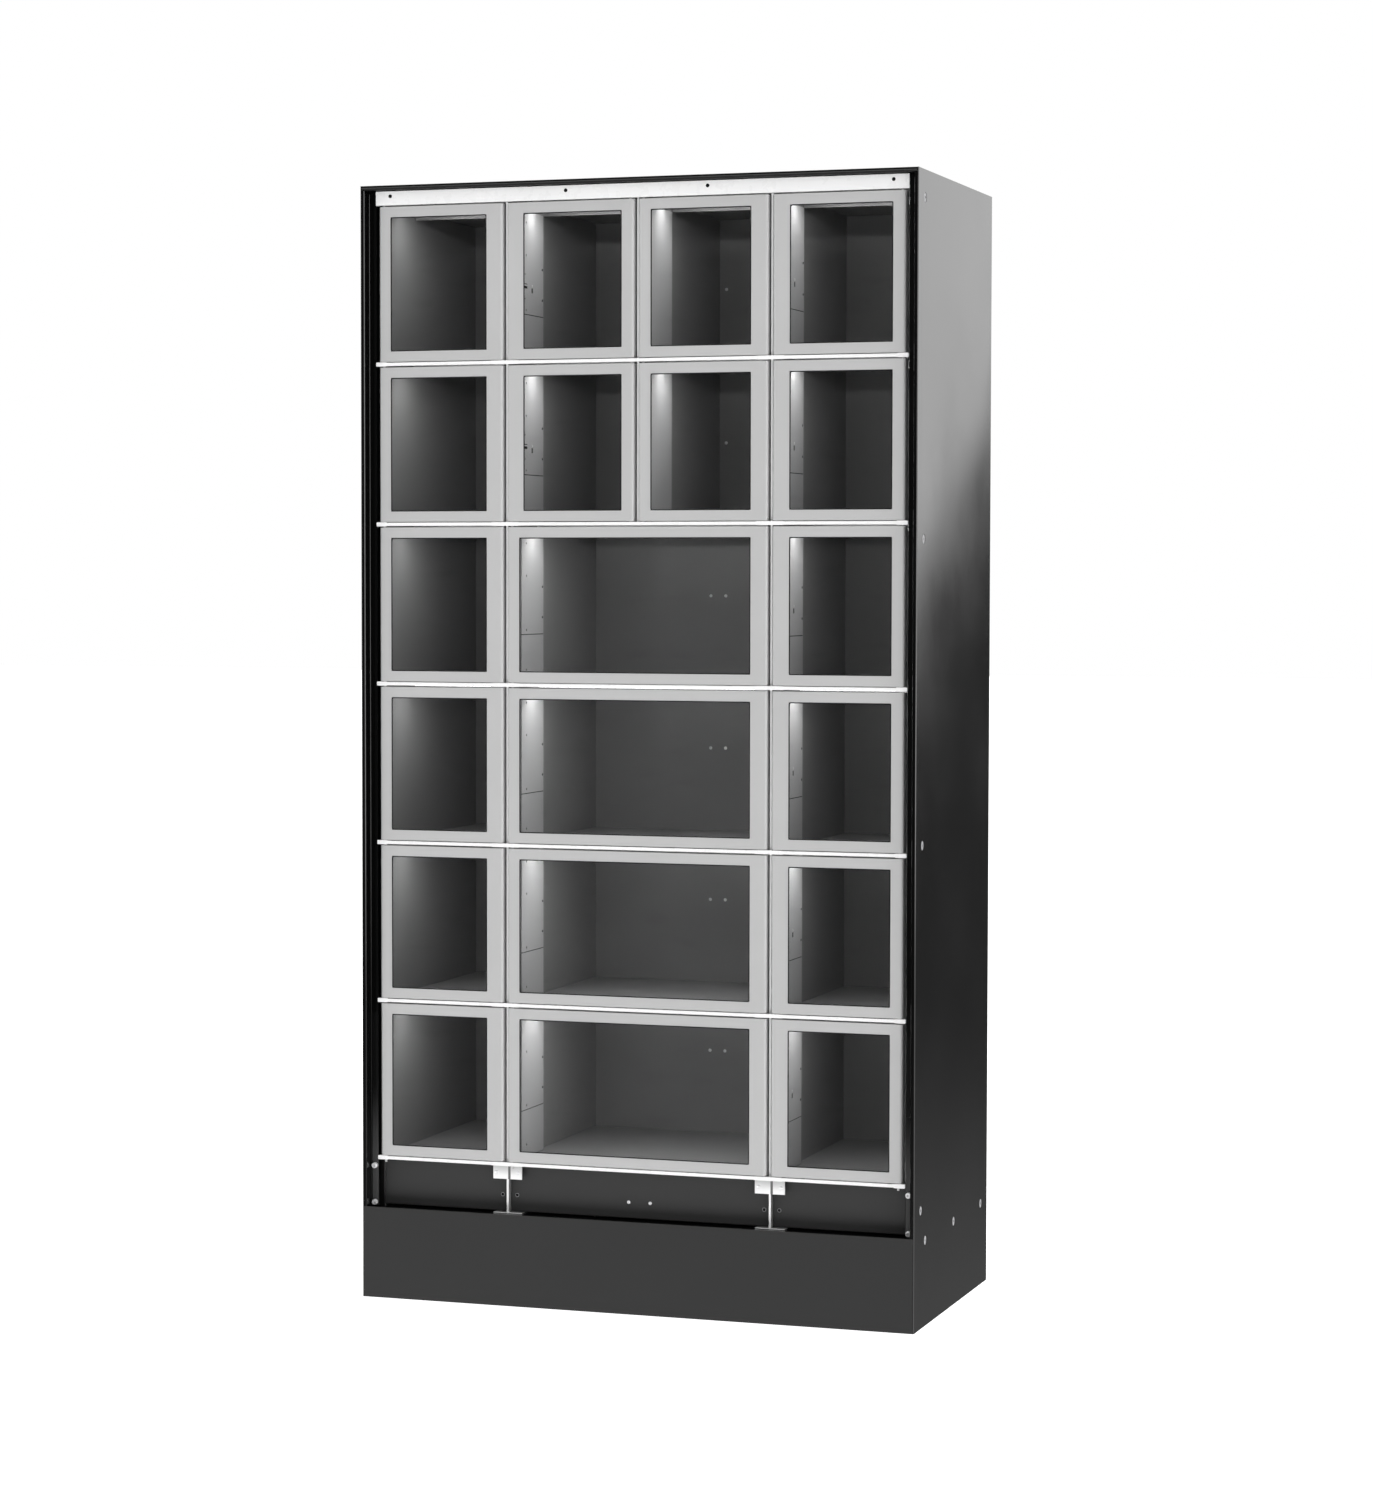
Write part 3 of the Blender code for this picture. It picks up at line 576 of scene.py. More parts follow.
def liner_coat(name, colour, gloss, zone=None, zone_paint=None):
    """The smooth grey inside the compartments, with a clear skin. zone_paint(finish) colours a zone of it."""
    finish = Finish(name, {"Specular IOR Level": 0.5, "Coat Roughness": 0.10})
    clouds = finish.patches(0.25, 0.75, 6.0, 4.0)
    paint = finish.mix(clouds, shade(colour, 0.96), shade(colour, 1.04))
    if zone:
        paint = finish.mix(finish.inside(*zone), paint, zone_paint(finish))
    finish.feed("Base Color", paint)
    finish.feed("Roughness", finish.noise(60.0, 3.0) * 0.10 + 0.36)
    finish.feed("Coat Weight", clouds * 0.1 + gloss)
    finish.bump(finish.noise(480.0, 2.0), 0.12, 0.00004)
    return finish.material


def edge_paint(finish, colour):
    """White for a partition's front edge. Painted shade darkens its brackets upwards, and a painted shadow
    line lies beside the edge.
    """
    across, up = finish.along("X"), finish.along("Z")
    bracket = finish.step(up, BRACKET_FOOT - SOFT_EDGE, BRACKET_FOOT)
    bracket = bracket * finish.step(up, BRACKET_TOP + SOFT_EDGE, BRACKET_TOP)
    # Painted shade: the brackets darken towards their tops
    painted_shade = finish.step(up, BRACKET_FOOT + 0.003, BRACKET_TOP - 0.002) * bracket
    front = finish.mix(painted_shade * 0.85, shade(colour), shade(colour, 0.50))
    # A painted shadow line beside each partition's edge, on the brackets
    for line in (LINES[1], LINES[3]):
        edge_shadow = finish.step(across, *[line + edge for edge in EDGE_SHADOW_START])
        edge_shadow = edge_shadow * finish.step(across, *[line + edge for edge in EDGE_SHADOW_END])
        front = finish.mix(edge_shadow * bracket, front, shade(colour, 0.13))
    return front


def pane_glass(name, tint):
    """Clear acrylic with a light smoke tint and the odd wiping mark."""
    finish = Finish(name, {"Base Color": (0.02, 0.02, 0.02, 1), "IOR": 1.49})
    wipes = finish.patches(0.55, 0.75, 14.0, 3.0, (1, 1, 3))
    finish.feed("Alpha", wipes * 0.015 + tint)
    finish.feed("Roughness", wipes * 0.06 + 0.02)
    return finish.material


def rubber(name):
    """Matt black rubber with fine extrusion lines."""
    finish = Finish(name, {"Specular IOR Level": 0.3})
    bloom = finish.patches(0.4, 0.8, 120.0, 3.0)
    finish.feed("Base Color", finish.mix(bloom, (0.006, 0.006, 0.006, 1), (0.014, 0.014, 0.014, 1)))
    finish.feed("Roughness", bloom * 0.15 + 0.55)
    finish.bump(finish.noise(1800.0, 1.0), 0.2, 0.00005)
    return finish.material


def plated_metal(name, colour, roughness, stretch, metallic=1.0):
    """Zinc plate or anodised aluminium. stretch draws the grain out."""
    finish = Finish(name, {"Metallic": metallic})
    grain = finish.noise(260.0, 4.0, stretch)
    finish.feed("Base Color", finish.mix(grain, shade(colour, 0.85), shade(colour, 1.08)))
    finish.feed("Roughness", grain * 0.14 + roughness)
    finish.bump(grain, 0.12, 0.00004)
    return finish.material


def black_plastic(name):
    """Moulded black plastic with a spark-eroded skin."""
    finish = Finish(name, {"Specular IOR Level": 0.15})
    skin = finish.noise(2200.0, 1.0)
    finish.feed("Base Color", finish.mix(skin, (0.003, 0.003, 0.003, 1), (0.006, 0.006, 0.006, 1)))
    finish.feed("Roughness", skin * 0.15 + 0.40)
    finish.bump(skin, 0.2, 0.00004)
    return finish.material


def diffuser(name, glow):
    """Opal strip, lit from behind by a row of small lamps."""
    finish = Finish(name, {"Base Color": (0.9, 0.9, 0.9, 1), "Roughness": 0.35, "Emission Strength": glow})
    lamps = finish.node("ShaderNodeTexWave", {"Vector": finish.place, "Scale": 20.0}, bands_direction="X")
    finish.feed("Emission Color", finish.mix(lamps, (0.90, 0.90, 0.90, 1), (1.0, 1.0, 1.0, 1)))
    return finish.material


class LOCKER_OT_finishes(bpy.types.Operator):
    """Make the finishes and lay them on the cabinet's own parts"""
    bl_idname = "locker.finishes"
    bl_label = "Finishes"

    def execute(self, context):
        chosen = context.scene.locker_finishes
        recipes = {
            "door_coat": (powder_coat, chosen.door, 0.46, 0.00006, 0.40),
            "plinth_coat": (powder_coat, chosen.plinth, 0.52, 0.00008, 0.18),
            # The filler takes the plinth's colour made lighter: painted light against the shade in its recess
            "filler_coat": (powder_coat, shade(chosen.plinth, 1.35), 0.52, 0.00008, 0.18),
            "gloss_coat": (gloss_coat, chosen.casing),
            "panel_coat": (gloss_coat, chosen.casing, 0.5, None, None, FLANGE_ZONE),
            "top_coat": (gloss_coat, chosen.casing, 0.15, LIP_LINE, LIP_UNDERSIDE),
            "shelf_coat": (shelf_coat, chosen.nose, chosen.liner),
            "liner_coat": (liner_coat, chosen.liner, 0.10),
            # The rear wall takes the inside's grey darkened: painted shade
            "rear_coat": (liner_coat, shade(chosen.liner, 0.88), 0.55),
            "side_coat": (liner_coat, chosen.liner, 0.10, LINER_FOLD, lambda finish: shade(chosen.casing)),
            "partition_coat": (liner_coat, chosen.liner, 0.10, PARTITION_EDGE,
                               lambda finish: edge_paint(finish, chosen.nose)),
            "cover_coat": (liner_coat, chosen.cover, 0.10),
            "pane_glass": (pane_glass, chosen.tint),
            "rubber": (rubber,),
            "zinc": (plated_metal, (0.82, 0.82, 0.83), 0.34, (1, 1, 1), 0.3),
            "dull_zinc": (plated_metal, (0.34, 0.34, 0.35), 0.46, (1, 1, 1), 0.2),
            "aluminium": (plated_metal, (0.70, 0.70, 0.71), 0.30, (0.04, 1, 1)),
            "black_plastic": (black_plastic,),
            "diffuser": (diffuser, context.scene.locker_lights.glow),
        }
        MATERIALS.update({name: make(name, *values) for name, (make, *values) in recipes.items()})
        slots = {item["node"]: item["material_slot"] for item in frame["record"]["subparts"]}
        coats = {"black_steel": "gloss_coat", "dark_steel": "plinth_coat", "white_steel": "shelf_coat",
                 "grey_liner": "liner_coat", "grey_door": "door_coat", "clear_pane": "pane_glass"}
        own_coats = {"rear_wall": "rear_coat", "filler_panel": "filler_coat", "top_panel": "top_coat",
                     "side_liner": "side_coat", "side_panel": "panel_coat", "partition": "partition_coat"}
        for name, item in NODES.items():
            own = [coat for start, coat in own_coats.items() if name.startswith(start)]
            coat = own[0] if own else coats[slots[name]]
            item.data.materials.clear()
            item.data.materials.append(MATERIALS[coat])
        return {"FINISHED"}


# Door pieces

def loop_tree(name):
    """An upright rounded frame that faces forwards, swept from a strip with rounded edges."""
    build = Build(name, {"Width": 0.2, "Height": 0.2, "Corner": 0.004, "Strip": 0.002, "Thickness": 0.002,
                         "Softness": 0.0005, "X": 0.0, "Y": 0.0, "Z": 0.0})
    path = build.outline(build.given("Width"), build.given("Height"), build.given("Corner"), 6)
    section = build.outline(build.given("Strip"), build.given("Thickness"), build.given("Softness"), 3)
    place = build.vector(build.given("X"), build.given("Y"), build.given("Z"))
    return build.finish(build.moved(build.swept(path, section), place, (math.pi / 2, 0, 0)))


def loop_sizes(low, high, y, strip, thickness, corner, softness):
    """Sizes of a loop whose outer edge runs from low to high in X and Z, its middle at Y."""
    return {"Width": high[0] - low[0] - strip, "Height": high[1] - low[1] - strip, "Strip": strip,
            "Thickness": thickness, "Corner": corner, "Softness": softness,
            "X": (low[0] + high[0]) / 2, "Y": y, "Z": (low[1] + high[1]) / 2}


class LOCKER_OT_window_trim(bpy.types.Operator):
    """Rubber gasket in front of each pane, and the strip that holds it from behind"""
    bl_idname = "locker.window_trim"
    bl_label = "Window trim"

    def execute(self, context):
        trim = context.scene.locker_trim
        tree = loop_tree("frame_loop")
        for row, label, *_ in all_doors():
            body = f"door_row{row}_{label}"
            low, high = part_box(f"door_window_row{row}_{label}")
            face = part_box(f"door_frame_row{row}_{label}")[0].y
            hole = ((low.x + WINDOW_OVERLAP, low.z + WINDOW_OVERLAP),
                    (high.x - WINDOW_OVERLAP, high.z - WINDOW_OVERLAP))
            front = face - trim.gasket_proud
            thickness = low.y - front
            sizes = loop_sizes(*hole, front + thickness / 2, trim.gasket_width, thickness,
                               GASKET_CORNER, GASKET_EDGE)
            grow(f"gasket_row{row}_{label}", tree, "rubber", ONE_POINT, sizes, body)
            pane = ((low.x + PANE_INSET, low.z + PANE_INSET), (high.x - PANE_INSET, high.z - PANE_INSET))
            behind = high.y + SEAM / 3 + trim.retainer_thickness / 2
            sizes = loop_sizes(*pane, behind, trim.retainer_width, trim.retainer_thickness,
                               RETAINER_CORNER, RETAINER_EDGE)
            grow(f"retainer_row{row}_{label}", tree, "gloss_coat", ONE_POINT, sizes, body)
        return {"FINISHED"}


# Lock covers

def cover_tree(name, holes, slots, notches):
    """A cover plate of a lock duct, drawn with the cabinet's depth as X and its height as Y.

    holes lists (x, y, radius), slots (x, y, width, height) and notches in the rear edge (y, height).
    """
    build = Build(name, {"Depth": 0.122, "Height": 0.08, "Thickness": 0.0008})
    wide, tall = build.given("Depth"), build.given("Height")
    rim = build.moved(build.outline(wide, tall, COVER_CORNER, 3), build.vector(wide * 0.5, tall * 0.5, 0.0))
    parts = [rim]
    for x, y, radius in holes:
        ring = build.node("GeometryNodeCurvePrimitiveCircle",
                          {"Resolution": 16, "Radius": radius}, mode="RADIUS")
        parts.append(build.moved(ring, (x, y, 0)))
    for x, y, across, tall_side in slots:
        parts.append(build.moved(build.outline(across, tall_side, SLOT_CORNER, 2), (x, y, 0)))
    for y, run in notches:
        slot = build.outline(NOTCH_DEPTH, run, NOTCH_CORNER, 2)
        parts.append(build.moved(slot, build.vector(wide - NOTCH_INSET, y, 0.0)))
    sheet = build.node("GeometryNodeFillCurve", {"Curve": build.joined(*parts)}, mode="NGONS")
    raised = build.node("GeometryNodeExtrudeMesh",
                        {"Mesh": sheet, "Offset Scale": build.given("Thickness"), "Individual": False},
                        mode="FACES")
    back = build.node("GeometryNodeFlipFaces", {"Mesh": sheet})
    solid = build.node("GeometryNodeMergeByDistance",
                       {"Geometry": build.joined(raised, back), "Distance": 0.00001})
    upright = build.moved(solid, (0, 0, 0), (math.pi / 2, 0, math.pi / 2))
    turned = build.node("GeometryNodeInstanceOnPoints",
                        {"Points": build.given("Geometry"), "Instance": upright})
    return build.finish(turned)


class LOCKER_OT_lock_covers(bpy.types.Operator):
    """Cover plates on each lock duct in each compartment, pierced for the lock on the latch's side"""
    bl_idname = "locker.lock_covers"
    bl_label = "Lock covers"

    def execute(self, context):
        trim = context.scene.locker_trim
        run = DUCT_BACK - COVER_FRONT - BACKING_INSET * 2
        screws = [(COVER_SCREW_DEPTH, height, COVER_SCREW_RADIUS) for height in UPPER_SCREW_HEIGHTS]
        lower_screw = (COVER_SCREW_DEPTH, LOWER_SCREW_HEIGHT, COVER_SCREW_RADIUS)
        trees = {
            "lower": cover_tree("lower_cover", [lower_screw], [], []),
            "blank": cover_tree("blank_cover", screws, [], COVER_NOTCHES),
            "pierced": cover_tree("pierced_cover", screws + list(LOCK_HOLES), LOCK_SLOTS, COVER_NOTCHES),
            "plain": cover_tree("plain_cover", [], [], []),
            "backing": cover_tree("backing_plate", [], [], []),
        }
        spots = {kind: [] for kind in trees}
        pins = []
        for row in ROW_NUMBERS:
            latches = [latch_place(*place) for _, *place in doors_in(row)]
            for line in (1, 2, 3) if row <= NARROW_ROWS else (1, 3):
                for side in (-1, 1):
                    face = LINES[line] + side * DUCT_REACH
                    near = face + side * trim.backing_thickness
                    lift = trim.cover_thickness if side < 0 else 0
                    back = trim.backing_thickness if side < 0 else 0
                    y, z = COVER_FRONT, LEVELS[row] + COVER_LIFT
                    if line == 2:
                        spots["plain"].append(((face - lift, y, z), UP, FULL))
                        continue
                    spots["backing"].append(((face - back, y + BACKING_INSET, z + BACKING_INSET), UP, FULL))
                    spots["lower"].append(((near - lift, y, z), UP, FULL))
                    kind = "pierced" if (line, side) in latches else "blank"
                    spots[kind].append(((near - lift, y, LEVELS[row] + UPPER_COVER_LIFT), UP, FULL))
                    if kind == "pierced":
                        outer = near + side * trim.cover_thickness
                        place = (outer, y + PIN_DEPTH, LEVELS[row] + PIN_HEIGHT)
                        pins += spread([place], (side, 0, 0), PIN_RADIUS * 2)
        for kind, tree in trees.items():
            plate = kind == "backing"
            sizes = {"Depth": run - BACKING_INSET * 2 if plate else run, "Height": COVER_HEIGHTS[kind],
                     "Thickness": trim.backing_thickness if plate else trim.cover_thickness}
            grow(kind + "_lock_covers", tree, "black_plastic" if plate else "cover_coat", spots[kind], sizes)
        grow("lock_pins", plug_tree(), "zinc", pins, {"Dome": 0.5})
        return {"FINISHED"}


class LOCKER_OT_latch_mouths(bpy.types.Operator):
    """Black plastic lining round each slot that takes a door's latch"""
    bl_idname = "locker.latch_mouths"
    bl_label = "Latch mouths"

    def execute(self, context):
        tree = loop_tree("mouth_loop")
        for row, label, *place in all_doors():
            line, side = latch_place(*place)
            window = centre(f"door_window_row{row}_{label}")
            near = LINES[line] + side * (DUCT_REACH - MOUTH_NEAR)
            far = near + side * MOUTH_WIDTH
            low, high = min(near, far) - MOUTH_WALL, max(near, far) + MOUTH_WALL
            sizes = loop_sizes((low, window.z - MOUTH_HALF_HEIGHT), (high, window.z + MOUTH_HALF_HEIGHT),
                               DUCT_FRONT - MOUTH_PROUD / 2, MOUTH_WALL, MOUTH_PROUD,
                               MOUTH_CORNER, MOUTH_EDGE)
            grow(f"latch_mouth_row{row}_{label}", tree, "black_plastic", ONE_POINT, sizes)
        return {"FINISHED"}


# Light strips

def channel_tree():
    """An aluminium channel, one unit long in X, open downwards."""
    build = Build("light_channel", {"Width": 0.014, "Height": 0.0065, "Wall": 0.0011})
    wide, tall, wall = build.given("Width"), build.given("Height"), build.given("Wall")
    outer = build.box(build.vector(1.0, wide, tall))
    inner = build.box(build.vector(0.99, wide - wall * 2, tall), build.up(wall * -1))
    return build.on_points(build.moved(build.less(outer, inner), build.up(tall * -0.5)))


def diffuser_tree():
    """The opal strip in the channel, one unit long in X, with a soft lower face."""
    build = Build("light_diffuser", {"Width": 0.0116, "Height": 0.0034, "Softness": 0.0014})
    section = build.outline(build.given("Width"), build.given("Height"), build.given("Softness"), 4)
    return build.on_points(build.bar((-0.4945, 0, 0), (0.4945, 0, 0), section))


class LOCKER_OT_light_strips(bpy.types.Operator):
    """A light strip under the ceiling or shelf of each compartment, with its lamp"""
    bl_idname = "locker.light_strips"
    bl_label = "Light strips"

    def execute(self, context):
        lights = context.scene.locker_lights
        y = depth(STRIP_DEPTH)
        channels, strips = [], []
        for row, label, first, last, _ in all_doors():
            low, high = clear_span(first, last)
            low += lights.end_gap if first > 0 else lights.end_gap * 2
            high -= lights.end_gap if last < len(LINES) - 1 else lights.end_gap * 2
            x, run = (low + high) / 2, high - low
            top = LEVELS[row - 1] - SHEET
            foot = top - lights.channel_height
            channels.append(((x, y, top), UP, (run, 1, 1)))
            strips.append(((x, y, foot + DIFFUSER_RISE), UP, (run, 1, 1)))
            lamp = bpy.data.lights.new(f"lamp_row{row}_{label}", "AREA")
            lamp.shape = "RECTANGLE"
            lamp.size = run
            lamp.size_y = LAMP_WIDTH
            lamp.energy = lights.power * run
            holder = bpy.data.objects.new(lamp.name, lamp)
            holder.location = (x, y, foot - LAMP_DROP)
            holder.rotation_euler = (lights.tilt, 0, 0)
            context.scene.collection.objects.link(holder)
        grow("light_channels", channel_tree(), "aluminium", channels,
             {"Width": lights.channel_width, "Height": lights.channel_height})
        grow("light_diffusers", diffuser_tree(), "diffuser", strips,
             {"Width": lights.channel_width - DIFFUSER_FIT})
        return {"FINISHED"}


# Screws and plates

def screw_tree():
    """A button-head screw of one unit radius, with a hexagon socket."""
    build = Build("button_screw", {"Dome": 0.55, "Socket": 0.42})
    socket = build.tube(6, build.given("Socket"), 0.6, (0, 0, 0.58))
    head = build.dome(20, 10, 1.0, 0.0, build.given("Dome"), socket)
    return build.on_points(head, 1.0)


def cap_tree():
    """A cap screw of one unit radius: a tall round head with a bevelled rim and a hexagon socket."""
    build = Build("cap_screw", {"Height": 1.2, "Bevel": 0.14, "Socket": 0.52})
    height, bevel = build.given("Height"), build.given("Bevel")
    barrel = build.tube(28, 1.0, height - bevel, build.up((height - bevel) * 0.5))
    rim = build.node("GeometryNodeMeshCone",
                     {"Vertices": 28, "Radius Bottom": 1.0, "Radius Top": 1 - bevel, "Depth": bevel})
    solid = build.union(barrel, build.moved(rim, build.up(height - bevel)))
    socket = build.tube(6, build.given("Socket"), 1.2, build.up(height))
    return build.on_points(build.less(solid, socket), 1.0)


def flush_tree():
    """A flat screw head of one unit radius, softly domed, with a hexagon socket."""
    build = Build("flush_screw", {"Height": 0.11, "Rim": 0.05, "Socket": 0.30})
    height, rim = build.given("Height"), build.given("Rim")
    base = build.tube(36, 1.0, rim, build.up(rim * 0.5))
    solid = build.union(base, build.dome(36, 16, 0.97, rim * 0.9, height - rim))
    socket = build.tube(6, build.given("Socket"), 0.12, build.up(height))
    return build.on_points(build.less(solid, socket), 1.0)


def plug_tree():
    """A pressed-in plug of one unit radius: a low dome on a rim."""
    build = Build("blind_plug", {"Dome": 0.16, "Rim": 0.08})
    rim = build.given("Rim")
    base = build.tube(16, 1.0, rim, build.up(rim * 0.5))
    return build.on_points(build.union(base, build.dome(16, 8, 0.86, rim * 0.9, build.given("Dome"))))


def spread(places, aim, diameter):
    """Points for round pieces of one diameter that all face the same way."""
    radius = diameter / 2
    return [(place, aim, (radius, radius, radius)) for place in places]


class LOCKER_OT_fasteners(bpy.types.Operator):
    """Screws at the posts, side panels, brackets, filler and rear wall, and black plugs as painted shade in
    the header's and filler's holes
    """
    bl_idname = "locker.fasteners"
    bl_label = "Fasteners"

    def execute(self, context):
        chosen = context.scene.locker_fasteners
        both = (-1, 1)
        edge = CAD_BOX[1].x - POST_SCREW_INSET
        posts = [(side * edge, FLANGE_FACE, z) for side in both for z in POST_SCREW_HEIGHTS]
        grow("post_screws", cap_tree(), "zinc", spread(posts, AHEAD, chosen.post_screw))
        flush = flush_tree()
        for side, label in ((-1, "left"), (1, "right")):
            seat = side * (CAD_BOX[1].x - RECESS_SINK)
            heads = [(seat, depth(EDGE_RECESS_DEPTH), z) for z in EDGE_RECESS_HEIGHTS]
            heads += [(seat, depth(back), FOOT_RECESS_HEIGHT) for back in FOOT_RECESS_DEPTHS]
            screws = spread(heads, (side, 0, 0), chosen.side_screw)
            grow(f"side_screws_{label}", flush, "dull_zinc", screws)
        brackets = [(LINES[line] + side * BRACKET_SCREW_OFFSET, BRACKET_FACE, BRACKET_SCREW_HEIGHT)
                    for line in (1, 3) for side in both]
        filler = [(side * FILLER_SCREW_OFFSET, FILLER_FACE, FILLER_SCREW_HEIGHT) for side in both]
        small = spread(brackets, AHEAD, chosen.bracket_screw) + spread(filler, AHEAD, chosen.bracket_screw)
        grow("front_screws", screw_tree(), "zinc", small, {"Dome": 0.40})
        wall = [(side * WALL_SCREW_OFFSET, WALL_FRONT, LEVELS[row] + WALL_SCREW_LIFT)
                for row in ROW_NUMBERS for side in both]
        screws = spread(wall, AHEAD, chosen.wall_screw)
        grow("wall_screws", screw_tree(), "zinc", screws, {"Dome": 0.40})
        # Black plugs stand in the header's holes and in the filler's washers: dark parts painted in for the
        # shade in these holes
        header = [(side * x, NOSE_FACE, HEADER_PLUG_HEIGHT) for side in both for x in HEADER_PLUG_OFFSETS]
        plugs = spread(header, AHEAD, chosen.header_plug)
        holes = [(LINES[line] + side * FILLER_PLUG_OFFSET, FILLER_FACE, FILLER_PLUG_HEIGHT)
                 for line in (1, 3) for side in both]
        washers = spread(holes, AHEAD, chosen.filler_plug * WASHER_SHARE)
        grow("filler_washers", plug_tree(), "dull_zinc", washers, {"Dome": 0.03, "Rim": 0.05})
        plugs += spread(holes, AHEAD, chosen.filler_plug)
        grow("blind_plugs", plug_tree(), "black_plastic", plugs)
        return {"FINISHED"}


def plate_tree():
    """A thin plate with rounded corners that faces forwards, sized by its points."""
    build = Build("nose_plate", {"Corner": 0.12})
    section = build.outline(1.0, 1.0, build.given("Corner"), 4)
    return build.on_points(build.bar((0, 0, 0), (0, 0, 1), section))


class LOCKER_OT_nose_plates(bpy.types.Operator):
    """Joint plates where the noses cross the partitions, and caps at the noses' ends"""
    bl_idname = "locker.nose_plates"
    bl_label = "Nose plates"

    def execute(self, context):
        thickness = context.scene.locker_trim.plate_thickness
        points = []
        for row in ROW_NUMBERS:
            z = LEVELS[row] - NOSE_HEIGHT / 2
            for line in (1, 3):
                size = (JOINT_PLATE_WIDTH, NOSE_HEIGHT + JOINT_PLATE_MARGIN, thickness)
                points.append(((LINES[line], NOSE_FACE, z), AHEAD, size))
            for side in (-1, 1):
                size = (END_CAP_WIDTH, NOSE_HEIGHT + END_CAP_MARGIN, thickness)
                points.append(((side * (NOSE_REACH - END_CAP_INSET), NOSE_FACE, z), AHEAD, size))
        grow("nose_plates", plate_tree(), "shelf_coat", points)
        return {"FINISHED"}


# Studio

SLANT_BEARING, SLANT_RISE, SLANT_SHIFT = 0.2608, 2.12, 0.0007


def build_world(studio):
    """White to the eye. Its light comes mostly from the front, off the floor and at eye height."""
    world = bpy.data.worlds.new("studio")
    world.use_nodes = True
    world.node_tree.nodes.clear()
    graph = Graph(world.node_tree)
    direction = graph.node("ShaderNodeTexCoord", output="Generated")
    step = graph.step

    def between(value, start, full, fade, gone):
        """1 from full to fade, and 0 before start and after gone."""
        return step(value, start, full) * (1 - step(value, fade, gone))

    def sector(*angles):
        """Directions round the horizon, in degrees to the right of straight out from the doors."""
        return between(turn, *[math.radians(angle) for angle in angles])

    across, ahead, up = [graph.part(direction, axis) for axis in "XYZ"]
    turn = across.maths("ARCTAN2", across, ahead * -1.0)
    bearing = across.maths("ARCTAN2", across, ahead)
    below = between(up, -0.205, -0.225, -0.50, -0.65)
    above = between(up, 0.115, 0.135, 0.22, 0.32) * 0.1
    eye_height = between(up, -0.12, -0.06, 0.09, 0.13)
    left, right = sector(-32, -40, -62, -80), sector(6, 20, 75, 95)
    far_left, far_right = sector(-50, -62, -85, -100), sector(27, 38, 75, 95)
    front = step(ahead, 0.1, -0.3) * (step(up, 0.13, 0.25) + step(up, -0.205, -0.3))
    # The side light ends on a slanted line, which the gloss of the right side panel mirrors
    slant = up + (bearing - SLANT_BEARING) * SLANT_RISE + SLANT_SHIFT
    side = step(slant, -0.008, 0.008) * (1 - step(bearing, 1.7, 2.3))
    level = (below + above) * (left * studio.key + right * studio.right) + side * studio.side
    level = level + below * step(ahead, 0.2, -0.3) * studio.bounce + step(up, -0.105, -0.21) * 0.15
    level = level + eye_height * (far_left + far_right) * studio.level + front * studio.soft
    level = level + step(up, 0.0, 0.5) * studio.fill + 0.05
    lit = graph.node("ShaderNodeBackground", {"Color": (1, 1, 1, 1), "Strength": level})
    shown = graph.node("ShaderNodeBackground", {"Color": (1, 1, 1, 1), "Strength": 1.0})
    camera_ray = graph.node("ShaderNodeLightPath", output="Is Camera Ray")
    both = graph.node("ShaderNodeMixShader", {0: camera_ray, 1: lit, 2: shown})
    leave = world.node_tree.nodes.new("ShaderNodeOutputWorld")
    world.node_tree.links.new(both.socket, leave.inputs["Surface"])
    return world


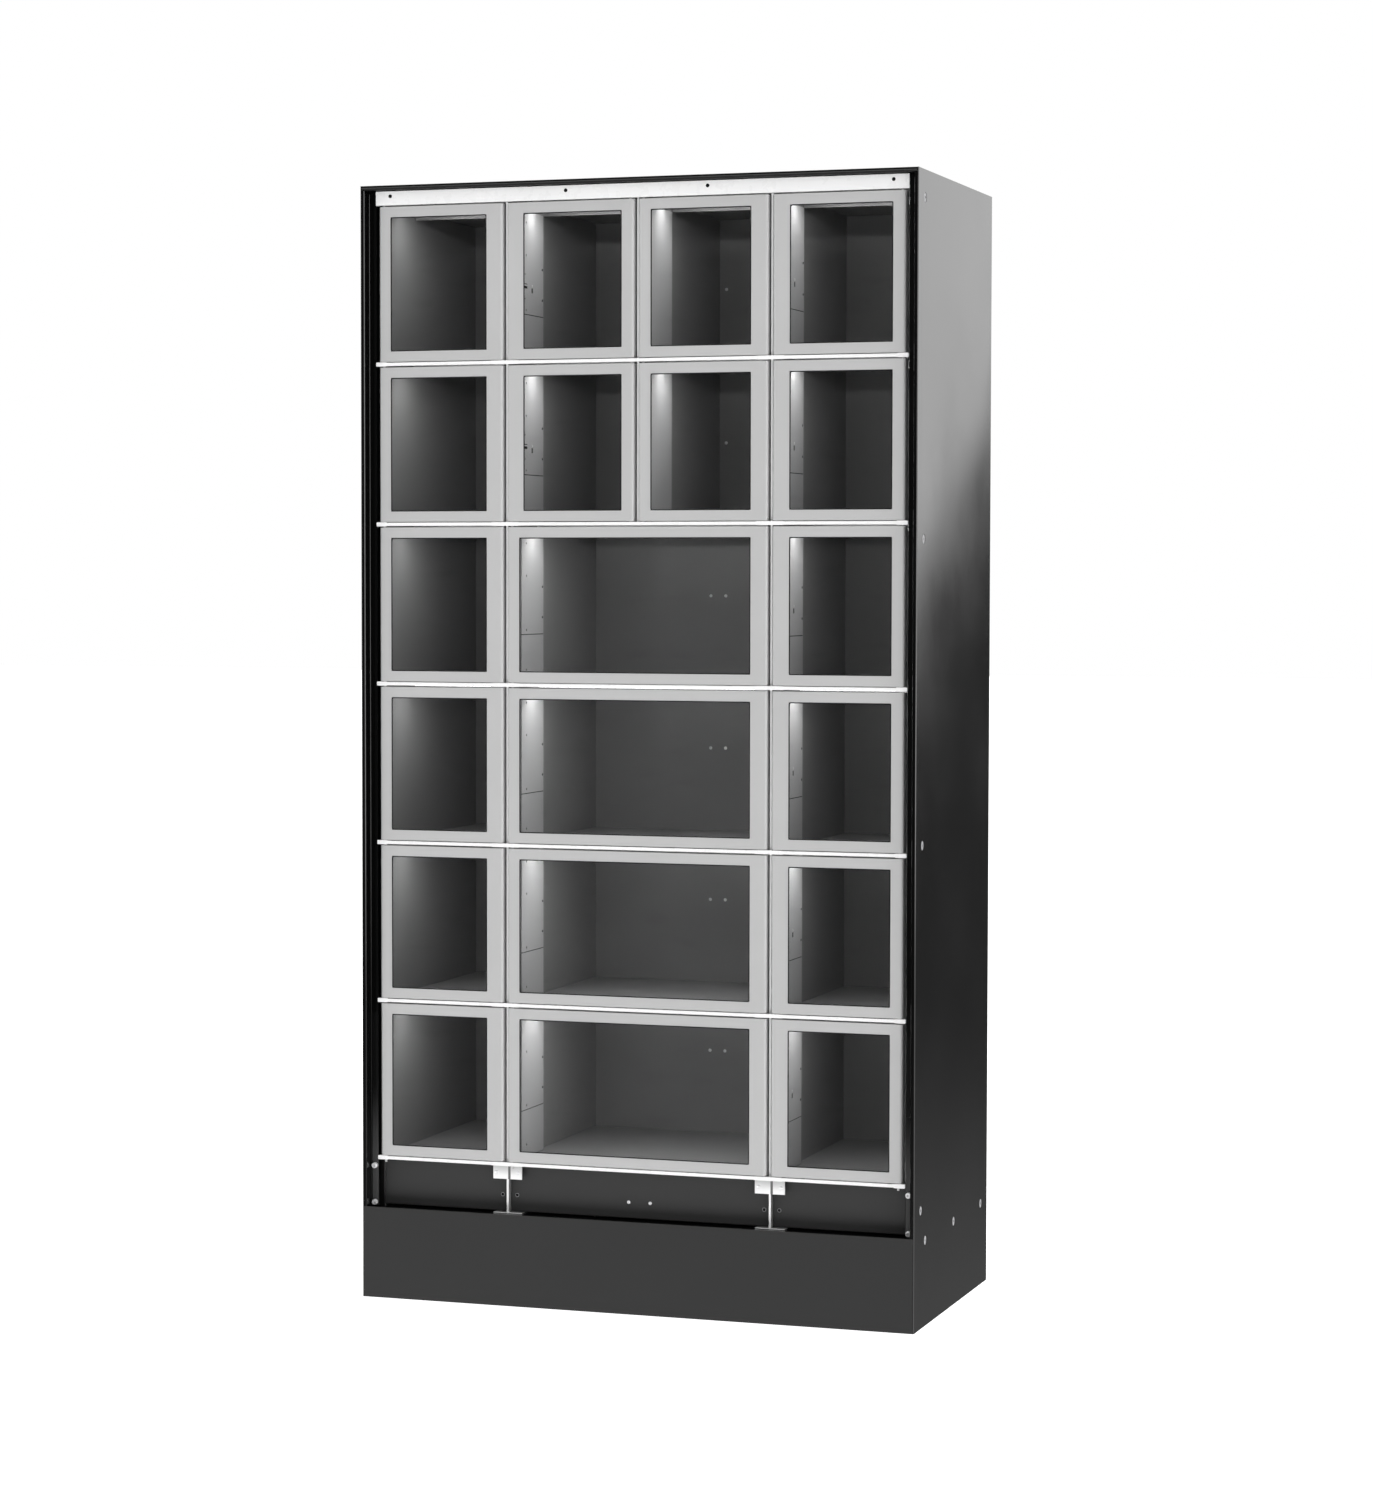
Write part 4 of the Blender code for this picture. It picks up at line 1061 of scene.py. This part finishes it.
def build_floor(colour):
    mesh = bpy.data.meshes.new("floor")
    reach = 40.0
    mesh.from_pydata([(-reach, -reach, 0), (reach, -reach, 0), (reach, reach, 0), (-reach, reach, 0)], [],
                     [(0, 1, 2, 3)])
    floor = bpy.data.objects.new("floor", mesh)
    bpy.context.scene.collection.objects.link(floor)
    finish = Finish("floor_paint", {"Roughness": 0.9, "Emission Strength": 0.88,
                                    "Emission Color": (1, 1, 1, 1), "Specular IOR Level": 0.1})
    finish.feed("Base Color", finish.mix(finish.noise(3.0, 3.0), shade(colour, 0.98), shade(colour)))
    mesh.materials.append(finish.material)
    floor.visible_diffuse = False
    floor.visible_glossy = False


class LOCKER_OT_studio(bpy.types.Operator):
    """Floor, soft light and the camera"""
    bl_idname = "locker.studio"
    bl_label = "Studio"

    def execute(self, context):
        scene = context.scene
        studio = scene.locker_studio
        scene.world = build_world(studio)
        build_floor(studio.floor)
        scene.view_settings.view_transform = "Standard"
        camera = bpy.data.objects.new("camera", bpy.data.cameras.new("camera"))
        camera.data.sensor_width = 36.0
        camera.data.lens = studio.lens
        camera.data.clip_end = 200.0
        tilt, roll, heading = studio.turn
        turn = Euler((tilt, 0, heading)).to_matrix() @ Matrix.Rotation(roll, 3, "Z")
        camera.matrix_world = Matrix.Translation(studio.eye) @ turn.to_4x4()
        scene.collection.objects.link(camera)
        scene.camera = camera
        return {"FINISHED"}


# Panel and start

OPERATORS = (LOCKER_OT_finishes, LOCKER_OT_window_trim, LOCKER_OT_lock_covers, LOCKER_OT_latch_mouths,
             LOCKER_OT_light_strips, LOCKER_OT_fasteners, LOCKER_OT_nose_plates, LOCKER_OT_studio)


class LOCKER_PT_parts(bpy.types.Panel):
    """The locker's sizes and colours, and a button for each group of pieces"""
    bl_label = "Locker"
    bl_space_type = "VIEW_3D"
    bl_region_type = "UI"
    bl_category = "Locker"

    def draw(self, context):
        layout = self.layout
        for name, group in SETTINGS.items():
            block = layout.box()
            settings = getattr(context.scene, name)
            for field in group.__annotations__:
                block.prop(settings, field)
        for operator in OPERATORS:
            layout.operator(operator.bl_idname)


def register():
    for group in (*SETTINGS.values(), *OPERATORS, LOCKER_PT_parts):
        bpy.utils.register_class(group)
    for name, group in SETTINGS.items():
        setattr(bpy.types.Scene, name, PointerProperty(type=group))


def unregister():
    for name in SETTINGS:
        delattr(bpy.types.Scene, name)
    for group in (LOCKER_PT_parts, *reversed(OPERATORS), *reversed(SETTINGS.values())):
        bpy.utils.unregister_class(group)


def main():
    register()
    for operator in OPERATORS:
        family, name = operator.bl_idname.split(".")
        getattr(getattr(bpy.ops, family), name)()


if __name__ == "__main__":
    main()
